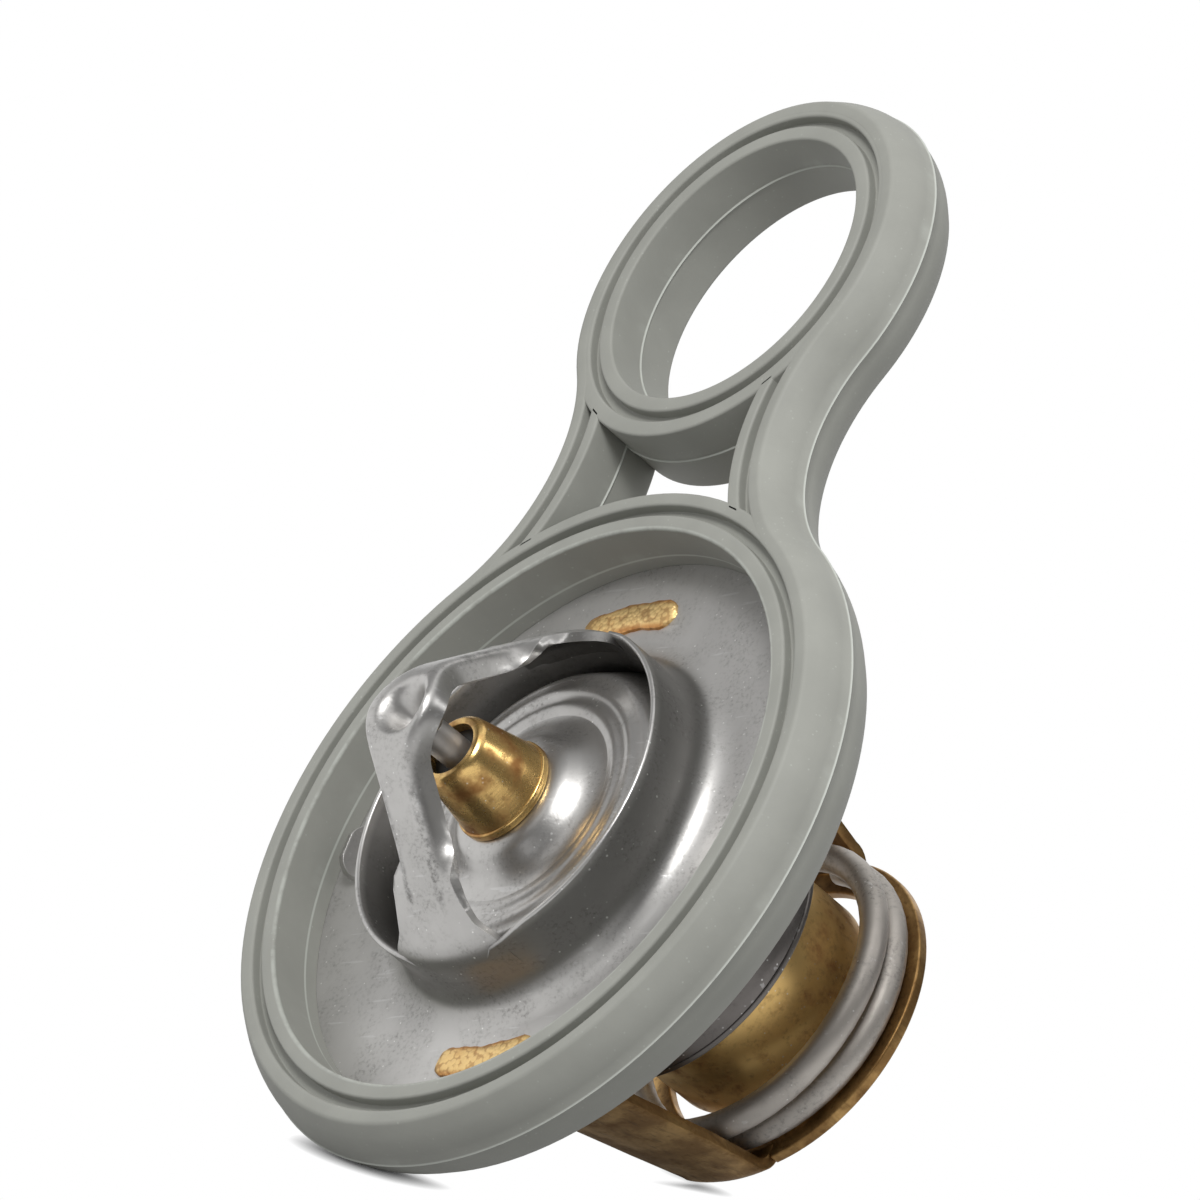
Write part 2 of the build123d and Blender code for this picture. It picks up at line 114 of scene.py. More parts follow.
class FlangeSettings(PropertyGroup):
    """Sizes of the pressed flange and bridge."""

    sheet: length("Sheet", "Thickness of the steel sheet", 1.0)
    radius: length("Radius", "Outer edge inside the seal", 29.7)
    flat: length("Flat level", "Upper face of the flat ring", -1.5)
    collar: length("Collar", "Outer radius of the drawn collar", 16.6)
    collar_top: length("Collar top", "Level of the collar's rim", 5.85)
    rim: length("Rim", "Thickness of the drawn rim", 0.5)
    rim_tuck: length("Rim tuck", "How far the rim stays back under the bridge's feet", 1.2)
    rim_dip: length("Rim dip", "How far the rim sinks on its way to a foot", 0.6)
    root: length("Root", "Hollow rounding at the collar's foot", 3.0)
    arch: length("Arch radius", "Rounding of the bridge over the nose", 8.0)
    lean: turn("Lean", "Angle of the legs from the axis", 43)
    bridge_turn: turn("Bridge turn", "How far the bridge is turned about the axis", 2)
    nose_flat: length("Nose flat", "Flat width over the piston", 6.2)
    nose_end: length("Nose end", "Distance from the axis where the nose runs into the legs", 6.0)
    leg_flat: length("Leg flat", "Flat width of a leg", 2.9)
    nose_sheet: length("Nose sheet", "Sheet over the piston, from edge to edge", 11.2)
    leg_sheet: length("Leg sheet", "Sheet of a leg, from edge to edge", 8.3)
    run_sheet: length("Run-out sheet", "Width of a leg where its side walls have run out", 6.9)
    foot: length("Foot width", "Width where a leg meets the collar", 10.6)
    fillet: length("Foot fillet", "Hollow curve from a foot's edges into the rim", 0.9)
    shoulder: length("Foot shoulder", "Rounding between a leg and the collar's wall", 4.0)
    wall_round: length("Wall rounding", "Bend between a leg's flat and its side walls", 0.8)
    wall_bend: turn("Wall bend", "How far the side walls are bent down", 78)
    wall_run: length("Wall run-out", "Distance from the axis where the side walls begin to run out", 9.4)
    wall_end: length("Wall end", "Distance from the axis where the side walls have run out", 12.2)
    pit_depth: length("Pit depth", "Pressed pit that holds the piston", 3.4)
    pit_floor: length("Pit floor", "Radius of the pit's floor", 0.9)
    pit_rim: length("Pit rim", "Radius of the pit's soft rim", 2.7)
    pit_shift: length("Pit shift", "How far the pit lies towards +X", 0.5)
    lug_at: length("Lug place", "Distance of the lug's face from the axis", 25.4)
    lug_length: length("Lug length", "Along the radius", 1.1)
    lug_width: length("Lug width", "Across the radius", 5.0)
    lug_height: length("Lug height", "Above the flat", 2.6)


class StirrupSettings(PropertyGroup):
    """Sizes of the brass stirrup."""

    strap: length("Strap", "Thickness of the strip", 1.1)
    turned: turn("Turn", "How far the stirrup is turned about the axis", 4.5)
    top_radius: length("Top radius", "Outer face where a leg meets the flange", 22.75)
    foot_radius: length("Foot radius", "Outer face of a leg at the plate", 16.6)
    leg_top: length("Leg top width", "Width under the flange", 10.8)
    leg_wide: length("Leg wide width", "Greatest width of a leg", 9.8)
    leg_foot: length("Leg foot width", "Width at the bend", 8.8)
    back: length("Flange back", "Level of the flange's back face", -2.5)
    wide_at: length("Wide level", "Level of the greatest width", -23.9)
    plate_top: length("Plate top", "Upper face of the holed plate", -31.0)
    plate_radius: length("Plate radius", "Outer edge of the plate", 15.6)
    hole_radius: length("Hole radius", "Hole for the capsule", 12.4)
    bend: length("Bend radius", "Outer rounding between leg and plate", 2.2)
    tab_radius: length("Tab radius", "Distance of the tabs from the axis", 22.2)
    tab: length("Tab length", "Along the slot", 11.4)
    head: length("Head width", "Width of the staked head", 2.9)
    head_height: length("Head height", "Above the flange", 0.55)
    edge: length("Edge rounding", "Worn edges", 0.16)


class SpringSettings(PropertyGroup):
    """Sizes of the coil spring."""

    wire: length("Wire radius", "Half the wire's thickness", 1.28)
    rear_radius: length("Rear radius", "Coils on the plate", 13.85)
    front_radius: length("Front radius", "Coils round the cup", 15.45)
    low: length("Low", "Wire centre on the plate", -29.58)
    top: length("Top", "Wire centre under the cup's flange", -6.52)
    pitch: length("Closed pitch", "Rise of a closed turn", 3.1)
    anchor: length("Anchor", "Level that stays put as the spring is squeezed", -30.8)
    start: turn("Start", "Where the wire begins on the plate", 79)


class ValveSettings(PropertyGroup):
    """Sizes of the disc, the spring cup and the clamp ring."""

    disc_sheet: length("Disc sheet", "Thickness of the disc", 0.9)
    disc_radius: length("Disc radius", "Outer edge", 18.08)
    seat_radius: length("Rim radius", "Where the cone meets the rim", 17.78)
    shoulder: length("Shoulder", "Radius where the cone begins", 13.46)
    flat: length("Flat", "Level of the ridged flat", 3.0)
    rim: length("Rim", "Level of the rim", -3.4)
    neck_top: length("Neck top", "Level of the raised middle", 5.3)
    neck_radius: length("Neck radius", "Radius of the raised middle", 5.6)
    neck_foot: length("Neck foot", "Radius where the middle meets the flat", 7.9)
    hole: length("Hole", "Radius of the sleeve's shank", 3.9)
    ridge: length("Ridge", "Height of the pressed waves", 0.26)
    cup_radius: length("Cup radius", "Outer face of the cup's wall", 13.2)
    cup_lip: length("Cup lip", "Flare of the cup's edge", 0.7)
    cup_flare: length("Cup flare", "Height of the flare", 4.0)
    cup_end: length("Cup end", "Level of the cup's edge", -18.2)
    cup_sheet: length("Cup sheet", "Thickness of the cup", 0.8)
    ring_sheet: length("Ring sheet", "Thickness of the clamp ring", 0.6)


class WaxSettings(PropertyGroup):
    """Sizes of the capsule, the sleeve and the piston."""

    radius: length("Capsule radius", "Outer face of the can", 10.8)
    wall: length("Capsule wall", "Sheet of the can", 0.95)
    top: length("Capsule top", "Level of the turned-in lip", 2.1)
    end: length("Capsule end", "Level of the closed end", -31.6)
    lip: length("Capsule lip", "Radius of the turned-in lip", 6.6)
    crimp: length("Crimp", "Depth of the crimp near the end", 0.45)
    sleeve_base: length("Sleeve base", "Radius of the step above the disc", 4.8)
    sleeve_top: length("Sleeve top", "Radius at the top", 3.45)
    sleeve_end: length("Sleeve end", "Level of the sleeve's top", 12.4)
    sleeve_foot: length("Sleeve foot", "Level of the disc's neck", 5.3)
    shank: length("Shank", "Radius inside the disc", 3.9)
    counterbore: length("Counterbore", "Radius of the open top", 2.45)
    counter_depth: length("Counterbore depth", "From the sleeve's top", 1.9)
    flange_front: length("Sleeve flange front", "Level inside the can", 1.15)
    flange_back: length("Sleeve flange back", "Level inside the can", -0.75)
    bore: length("Bore", "Radius round the piston", 1.5)
    piston: length("Piston", "Radius of the pin", 1.45)
    piston_top: length("Piston top", "Level where the nose holds it", 15.4)
    piston_end: length("Piston end", "Level inside the boot", -13.95)


class FinishSettings(PropertyGroup):
    """Colours of the finishes."""

    rubber: tint("Rubber", "Grey moulded rubber", 0.284, 0.287, 0.26)
    rubber_pale: tint("Rubber, pale", "Moulding line and scuffs", 0.47, 0.49, 0.45)
    steel: tint("Steel", "Pressed sheet", 0.54, 0.53, 0.515)
    # A third of steel_dull is also the painted shade in and on the flange's collar.
    steel_dull: tint("Steel, dull", "Drawn and stained sheet", 0.22, 0.21, 0.2)
    wire: tint("Wire", "Spring steel", 0.53, 0.495, 0.455)
    cup: tint("Cup", "Dark drawn sheet", 0.2, 0.185, 0.175)
    staked: tint("Staked", "Hammered heads of the tabs", 0.86, 0.61, 0.27)
    pin: tint("Pin", "Ground piston", 0.6, 0.58, 0.56)
    brass: tint("Brass", "Clean brass", 0.79, 0.53, 0.2)
    tarnish: tint("Tarnish", "Brown stain on brass", 0.32, 0.13, 0.04)
    strip: tint("Strip", "Dull brass strip", 0.55, 0.345, 0.135)
    strip_brown: tint("Strip, brown", "Brown patches of the strip", 0.17, 0.085, 0.028)
    black: tint("Black rubber", "Wiper and boot", 0.02, 0.02, 0.02)
    wax: tint("Wax", "Copper-filled wax", 0.42, 0.24, 0.11)


class StageSettings(PropertyGroup):
    """Camera, lamps and floor."""

    eye: FloatVectorProperty(
        name="Eye", description="Camera's place", default=(0.3968, -0.2241, 0.3002), subtype="TRANSLATION",
        unit="LENGTH",
    )
    right: FloatVectorProperty(name="Right", description="Camera's right", default=(0.6878, 0.3357, -0.6436))
    up: FloatVectorProperty(name="Up", description="Camera's up", default=(0.1048, 0.8314, 0.5457))
    back: FloatVectorProperty(name="Back", description="Camera's back", default=(0.7183, -0.4428, 0.5366))
    lens: FloatProperty(name="Lens", description="Focal length on a 36 mm sensor", default=193.97)
    floor: FloatVectorProperty(
        name="Floor normal", description="Upward direction of the floor", default=(0.2656, 0.8421, 0.4693)
    )
    floor_depth: length("Floor depth", "Distance of the floor from the origin", 29.5)
    ambient: FloatProperty(name="Ambient", description="Level of the light all around", default=0.74)
    key: FloatProperty(name="Key", description="Power of the main softbox in watts", default=1.6)
    fill: FloatProperty(name="Fill", description="Power of the side softbox in watts", default=0.25)


class Number:
    """A value that varies over a surface; arithmetic on it adds Math nodes."""

    def __init__(self, graph, socket):
        self.graph = graph
        self.socket = socket

    def math(self, operation, *values):
        node = self.graph.add("ShaderNodeMath", {"operation": operation}, dict(enumerate(values)))
        return Number(self.graph, node.outputs[0])

    def __add__(self, other):
        return self.math("ADD", self, other)

    def __sub__(self, other):
        return self.math("SUBTRACT", self, other)

    def __rsub__(self, other):
        return self.math("SUBTRACT", other, self)

    def __mul__(self, other):
        return self.math("MULTIPLY", self, other)

    def __pow__(self, other):
        return self.math("POWER", self, other)

    def __abs__(self):
        return self.math("ABSOLUTE", self)

    __radd__ = __add__
    __rmul__ = __mul__


class Graph:
    """A node tree under construction."""

    def __init__(self, tree):
        self.tree = tree

    def add(self, kind, settings=None, sockets=None):
        """Adds a node, its settings first, then the values or links of its sockets."""
        node = self.tree.nodes.new(kind)
        for key, value in (settings or {}).items():
            setattr(node, key, value)
        for key, value in (sockets or {}).items():
            self.feed(node.inputs[key], value)
        return node

    def feed(self, socket, value):
        """Links a socket to a varying value, or sets it."""
        if isinstance(value, Number):
            value = value.socket
        if isinstance(value, bpy.types.NodeSocket):
            self.tree.links.new(value, socket)
        else:
            socket.default_value = value

    def mix(self, share, first, second):
        """First colour where share is 0, second where it is 1."""
        node = self.add("ShaderNodeMix", {"data_type": "RGBA"}, {0: share})
        for index, value in ((6, first), (7, second)):
            self.feed(node.inputs[index], value if isinstance(value, bpy.types.NodeSocket) else (*value, 1))
        return node.outputs[2]

    def path(self, *names):
        """Sum of the named Light Path outputs, kept below one."""
        rays = self.add("ShaderNodeLightPath")
        total = Number(self, rays.outputs[names[0]])
        for name in names[1:]:
            total = total.math("MAXIMUM", total, rays.outputs[name])
        return total


def bare(block):
    """Graph of a material or a world, emptied of its nodes."""
    block.use_nodes = True
    block.node_tree.nodes.clear()
    return Graph(block.node_tree)


class Finish(Graph):
    """A surface finish on one shader."""

    def __init__(self, name):
        self.material = bpy.data.materials.new(name)
        self.material.use_nodes = True
        super().__init__(self.material.node_tree)
        self.shader = self.tree.nodes["Principled BSDF"]
        self.place = self.add("ShaderNodeTexCoord").outputs["Object"]

    def axes(self):
        """X, Y and Z of the surface and its distance from the valve's axis, in metres."""
        split = self.add("ShaderNodeSeparateXYZ", None, {0: self.place})
        x, y, z = [Number(self, output) for output in split.outputs]
        return x, y, z, (x * x + y * y) ** 0.5

    def stretched(self, stretch):
        """Coordinates scaled along the axes."""
        return self.add("ShaderNodeMapping", None, {"Vector": self.place, "Scale": stretch}).outputs[0]

    def noise(self, size, detail=3.0, rough=0.55, stretch=(1, 1, 1)):
        """Soft noise with features of about the given size."""
        place = self.stretched(stretch)
        sockets = {"Vector": place, "Scale": 1 / size, "Detail": detail, "Roughness": rough}
        return Number(self, self.add("ShaderNodeTexNoise", None, sockets).outputs["Fac"])

    def cells(self, size):
        """Distance from scattered points, in cell widths."""
        node = self.add("ShaderNodeTexVoronoi", None, {"Vector": self.place, "Scale": 1 / size})
        return Number(self, node.outputs["Distance"])

    def ramp(self, value, low, high):
        """Smooth rise from 0 to 1 between two values."""
        sockets = {"Value": value, "From Min": low, "From Max": high}
        node = self.add("ShaderNodeMapRange", {"interpolation_type": "SMOOTHSTEP"}, sockets)
        return Number(self, node.outputs["Result"])

    def band(self, value, middle, inner, outer):
        """One near a middle value, falling to 0 away from it."""
        return 1 - self.ramp(abs(value - middle), inner, outer)

    def bump(self, height, distance, strength=1.0):
        """Relief of the given depth."""
        sockets = {"Height": height, "Distance": distance, "Strength": strength}
        node = self.add("ShaderNodeBump", None, sockets)
        self.feed(self.shader.inputs["Normal"], node.outputs[0])

    def done(self, colour, roughness, metallic=0.0, **constants):
        """Wires the shader and returns the material."""
        self.feed(self.shader.inputs["Base Color"], colour)
        self.feed(self.shader.inputs["Roughness"], roughness)
        self.feed(self.shader.inputs["Metallic"], metallic)
        for name, value in constants.items():
            self.shader.inputs[name.replace("_", " ")].default_value = value
        return self.material


def shade(colour, share):
    """A colour made darker or lighter."""
    return [share * part for part in colour]


def specks(finish, spacing, sizes, patch, edges):
    """Round specks in patches; sizes are in cell widths, edges are noise levels where a patch begins."""
    round_ones = 1 - finish.ramp(finish.cells(spacing), *sizes)
    return round_ones * finish.ramp(finish.noise(patch), *edges)


def dust(finish, colour, pale, share=0.75):
    """Pale specks of dust over a colour: a few large ones and, in patches, fine ones."""
    large = specks(finish, 1.9 * MM, (0.03, 0.075), 9 * MM, (0.5, 0.6))
    fine = specks(finish, 0.75 * MM, (0.07, 0.14), 3.5 * MM, (0.45, 0.6))
    return finish.mix(large.math("MAXIMUM", large, fine) * share, colour, pale)


def rubber_finish(colours):
    """Grey moulded rubber with a pale moulding line at half thickness."""
    finish = Finish("grey_rubber")
    x, y, z, reach = finish.axes()
    cloud = finish.noise(7 * MM, 4.0)
    grain = finish.noise(0.5 * MM, 2.0)
    worn = finish.noise(3 * MM, 3.0)
    line = finish.band(z, 0, 0.06 * MM, 0.16 * MM) * finish.ramp(worn, 0.12, 0.42)
    smear = finish.band(z, 0.3 * MM, 0.2 * MM, 1.1 * MM)
    smear = smear * finish.ramp(finish.noise(4 * MM, 4.0, 0.6, (1, 1, 0.3)), 0.5, 0.75)
    clouds = finish.ramp(cloud, 0.25, 0.75)
    colour = finish.mix(clouds, shade(colours.rubber, 0.93), shade(colours.rubber, 1.05))
    colour = finish.mix(smear * 0.25, colour, colours.rubber_pale)
    colour = finish.mix(line * 0.85, colour, colours.rubber_pale)
    lip = finish.band(reach, SEAL_LIP, 0.1 * MM, 0.3 * MM) * finish.ramp(z, 3.7 * MM, 3.85 * MM)
    ragged = finish.ramp(finish.noise(2.2 * MM, 4.0, 0.7), 0.3, 0.62)
    colour = finish.mix(lip * ragged * 0.5, colour, colours.rubber_pale)
    colour = dust(finish, colour, colours.rubber_pale, 0.35)
    finish.bump(grain + worn * 0.6, 0.02 * MM, 0.5)
    return finish.done(colour, 0.5 + 0.16 * cloud, Specular_IOR_Level=0.4)


def flange_shade_and_stain(finish, sizes):
    """Share of darkening: painted shade, heavy in the recess inside the collar and light on its outer wall,
    and a real dark film mottled along the bends.
    """
    x, y, z, reach = finish.axes()
    # Painted shade: heavy in the recess inside the collar, lighter on the collar's outer wall.
    below_rim = 1 - finish.ramp(z, sizes.collar_top - 1.0 * MM, sizes.collar_top - 0.2 * MM)
    inside = 1 - finish.ramp(reach, sizes.collar - 0.7 * MM, sizes.collar - 0.4 * MM)
    outside = finish.band(reach, sizes.collar, 0.6 * MM, 1.2 * MM) * (1 - inside)
    # The mottled film along the bends is the sheet's own stain.
    across = abs(x + y * math.tan(sizes.bridge_turn))
    bend = finish.band(across, sizes.leg_flat / 2 + 0.4 * sizes.wall_round, 0.1 * MM, 0.6 * MM)
    along_legs = finish.band(z, 12.5 * MM, 3 * MM, 4.5 * MM)
    mottle = finish.ramp(finish.noise(0.8 * MM, 4.0, 0.7), 0.35, 0.65)
    return below_rim * (inside * 0.6 + outside * 0.45) + bend * along_legs * mottle * 0.55


def flange_matt(finish, sizes):
    """Share of dull skin: over half on the flat ring, little on what was drawn and pressed."""
    x, y, z, reach = finish.axes()
    return 0.62 - 0.52 * finish.ramp(z, sizes.flat + 0.2 * MM, sizes.flat + 1.2 * MM)


def sheet_finish(name, clean, dull, rough, grain_stretch=(1, 1, 1), stain=None, matt=None):
    """Satin steel sheet with grain and scratches; stain is a share of dark colour, on the flange painted
    shade in and on the collar and real film along the bends; matt one of dull skin.
    """
    finish = Finish(name)
    cloud = finish.noise(8 * MM, 4.0)
    grain = finish.noise(0.25 * MM, 2.0, 0.6, grain_stretch)
    patches = finish.ramp(finish.noise(4 * MM, 2.0), 0.35, 0.7)
    mottle = finish.ramp(finish.noise(0.4 * MM, 4.0, 0.7), 0.45, 0.75) * patches
    scratch = finish.ramp(finish.noise(0.7 * MM, 2.0, 0.5, (0.12, 1, 1)), 0.66, 0.72)
    colour = finish.mix(finish.ramp(cloud, 0.3, 0.7), clean, shade(clean, 0.86))
    colour = finish.mix(mottle * 0.75, colour, dull)
    colour = finish.mix(scratch * 0.25, colour, (0.8, 0.8, 0.8))
    if stain:
        # Dark colour by the stain share: painted shade in and on the flange's collar, real film along its
        # bends.
        colour = finish.mix(stain(finish), colour, shade(dull, 0.35))
    colour = dust(finish, colour, (0.85, 0.85, 0.83))
    finish.bump(grain + mottle * -0.6 + scratch * 0.4, 0.012 * MM, 0.6)
    skin = matt(finish) if matt else 0.1
    roughness = rough + 0.16 * (cloud - 0.5) + 0.14 * mottle + 0.06 * grain
    return finish.done(colour, roughness + 0.08 * skin, 1 - 0.6 * skin)


def brass_finish(name, clean, tarnish, rough, stain, pits):
    """Brass with brown stains, pits and fine turning marks."""
    finish = Finish(name)
    cloud = finish.noise(3.2 * MM, 5.0, 0.6)
    spots = finish.ramp(finish.noise(1.1 * MM, 5.0, 0.65), 0.5, 0.72)
    lines = finish.noise(0.16 * MM, 2.0, 0.5, (0.05, 0.05, 1))
    share = finish.ramp(cloud, 0.62 - stain, 0.86 - stain)
    colour = finish.mix(share * 0.85, clean, tarnish)
    colour = finish.mix(spots * 0.45, colour, shade(tarnish, 0.6))
    colour = dust(finish, colour, (0.8, 0.74, 0.6))
    finish.bump(lines * 0.5 + spots * -pits, 0.02 * MM, 0.6)
    return finish.done(colour, rough + 0.2 * share + 0.12 * spots, 0.88)


def strip_finish(colours, sizes):
    """Dull brass strip, brown in patches, with hammered tab heads that are orange along their edges."""
    finish = Finish("dull_strip")
    x, y, z, reach = finish.axes()
    dark = shade(colours.strip_brown, 0.6)
    cloud = finish.noise(4 * MM, 5.0, 0.6)
    drawn = finish.noise(0.6 * MM, 3.0, 0.6, (1, 1, 0.12))
    spots = finish.ramp(finish.noise(1.3 * MM, 5.0, 0.65), 0.5, 0.7)
    stain = finish.ramp(cloud, 0.3, 0.6)
    colour = finish.mix(stain * 0.75, colours.strip, colours.strip_brown)
    colour = finish.mix(finish.ramp(drawn, 0.5, 0.75) * 0.5, colour, dark)
    colour = finish.mix(spots * 0.35, colour, dark)
    head = finish.ramp(z, sizes.back + 0.7 * MM, sizes.back + 0.95 * MM)
    border = finish.ramp(abs(reach - sizes.tab_radius), 0.28 * sizes.head, 0.46 * sizes.head)
    dimples = finish.cells(0.5 * MM)
    hammered = finish.mix(border * 0.75 + spots * 0.2, colours.staked, (0.5, 0.2, 0.05))
    hammered = finish.mix(finish.ramp(dimples, 0.5, 0.75) * 0.5, hammered, colours.tarnish)
    colour = finish.mix(head, colour, hammered)
    finish.bump(drawn * 0.4 + spots * -0.5 + head * (1 - dimples) * 3, 0.03 * MM, 0.7)
    return finish.done(colour, 0.34 + 0.14 * stain + 0.1 * spots, 0.92 - 0.15 * head)


def plain_finish(name, clean, rough, metallic):
    """A dull finish with cloudy colour and fine grain, for small or hidden pieces."""
    finish = Finish(name)
    cloud = finish.noise(2.5 * MM, 4.0)
    colour = finish.mix(finish.ramp(cloud, 0.3, 0.7), shade(clean, 0.8), clean)
    finish.bump(finish.noise(0.3 * MM, 2.0), 0.015 * MM, 0.5)
    return finish.done(colour, rough + 0.15 * (cloud - 0.5), metallic)


def rounded(corners):
    """Points of a closed outline through (x, z) corners, each rounded by its third number if it has one."""
    bm = bmesh.new()
    verts, edges = wire(bm, [(corner[0], 0, corner[1]) for corner in corners])
    for vert, corner in zip(verts, corners):
        if len(corner) > 2:
            bmesh.ops.bevel(
                bm, geom=[vert], offset=corner[2], offset_type="OFFSET", affect="VERTICES",
                segments=ROUND_STEPS, profile=0.5, material=-1,
            )
    bm.verts.ensure_lookup_table()
    start = bm.verts[0]
    points = []
    vert, edge = start, None
    while vert is not start or not points:
        points.append((vert.co.x, vert.co.z))
        edge = next(link for link in vert.link_edges if link is not edge)
        vert = edge.other_vert(vert)
    bm.free()
    return points


def wire(bm, points, closed=True):
    """Edges through points, ready to spin or extrude."""
    verts = [bm.verts.new(point) for point in points]
    ends = verts[1:] + verts[:1] if closed else verts[1:]
    return verts, [bm.edges.new(pair) for pair in zip(verts, ends)]


def revolve(bm, corners, steps=RING_STEPS, middle=0):
    """Spins a closed section once round an upright axis at Y = middle."""
    verts, edges = wire(bm, [(x, middle, z) for x, z in rounded(corners)])
    bmesh.ops.spin(
        bm, geom=verts + edges, cent=(0, middle, 0), axis=(0, 0, 1), angle=2 * math.pi, steps=steps,
        use_merge=True,
    )


def loft(bm, sections, closed=True):
    """Extrudes a wire through sections of equally many points; closed ends are filled."""
    verts, edges = wire(bm, sections[0], closed)
    if closed:
        bm.faces.new(verts)
    for section in sections[1:]:
        order = {vert.co.to_tuple(): index for index, vert in enumerate(verts)}
        grown = bmesh.ops.extrude_edge_only(bm, edges=edges)["geom"]
        fresh = [part for part in grown if isinstance(part, bmesh.types.BMVert)]
        edges = [part for part in grown if isinstance(part, bmesh.types.BMEdge)]
        verts = sorted(fresh, key=lambda vert: order[vert.co.to_tuple()])
        for vert, point in zip(verts, section):
            vert.co = point
    if closed:
        bm.faces.new(verts)


def soften(bm, width, degrees):
    """Rounds the edges that turn by more than an angle."""
    bm.normal_update()
    sharp = math.radians(degrees)
    edges = [edge for edge in bm.edges if edge.is_manifold and edge.calc_face_angle(0) > sharp]
    bmesh.ops.bevel(
        bm, geom=edges, offset=width, offset_type="OFFSET", affect="EDGES", segments=SOFT_STEPS,
        profile=0.5, material=-1, clamp_overlap=True,
    )


def tidy(bm):
    """Merges seams and poles and turns the faces outwards."""
    bmesh.ops.remove_doubles(bm, verts=bm.verts, dist=MERGE)
    bmesh.ops.dissolve_degenerate(bm, edges=bm.edges, dist=MERGE)
    bmesh.ops.recalc_face_normals(bm, faces=bm.faces)


def strip(bm, sections, thickness, edge, seen_from, presses=0, press_end=0.0):
    """Adds a bent strip of sheet; sections run along the face that is seen from a direction."""
    sheet = bmesh.new()
    loft(sheet, sections, closed=False)
    sheet.normal_update()
    middle = sections[len(sections) // 2][len(sections[0]) // 2]
    face = min(sheet.faces, key=lambda face: (face.calc_center_median() - Vector(middle)).length)
    if face.normal.dot(Vector(seen_from)) < 0:
        bmesh.ops.reverse_faces(sheet, faces=sheet.faces)
    pressed = [vert for vert in sheet.verts if abs(vert.co.y) < press_end and not vert.is_boundary]
    for press in range(presses):
        bmesh.ops.smooth_vert(
            sheet, verts=pressed, factor=0.5, use_axis_x=True, use_axis_y=True, use_axis_z=True
        )
    bmesh.ops.solidify(sheet, geom=sheet.faces[:], thickness=thickness)
    soften(sheet, edge, 60)
    mesh = bpy.data.meshes.new("sheet")
    sheet.to_mesh(mesh)
    sheet.free()
    bm.from_mesh(mesh)
    bpy.data.meshes.remove(mesh)


def as_object(name, bm, material):
    """Turns a finished mesh into an object with a material."""
    mesh = bpy.data.meshes.new(name)
    bm.to_mesh(mesh)
    bm.free()
    mesh.materials.append(material)
    obj = bpy.data.objects.new(name, mesh)
    bpy.context.scene.collection.objects.link(obj)
    return obj


def piece(name, bm, body, slot, material, *nodes):
    """Makes a finished piece that rides on a body and stands for the solids of some nodes."""
    tidy(bm)
    obj = as_object(name, bm, material)
    obj.data.shade_smooth()
    obj.data.set_sharp_from_angle(angle=SHARP_ANGLE)
    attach(obj, body)
    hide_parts(*nodes)
    return obj


def dress(node, material):
    """Gives a solid that stays its finish."""
    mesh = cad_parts[node].data
    mesh.materials.clear()
    mesh.materials.append(material)


def mirrored(corners):
    """The corners of an outline below Z = 0, in the order that carries it on."""
    return [(corner[0], -corner[1], *corner[2:]) for corner in reversed(corners)]


def corner_angle(first, second, opposite):
    """Angle between two sides of a triangle, from the lengths of all three."""
    return math.acos((first**2 + second**2 - opposite**2) / (2 * first * second))


def smooth(value, low, high):
    """Smooth rise from 0 to 1 between two values."""
    share = min(max((value - low) / (high - low), 0), 1)
    return share * share * (3 - 2 * share)


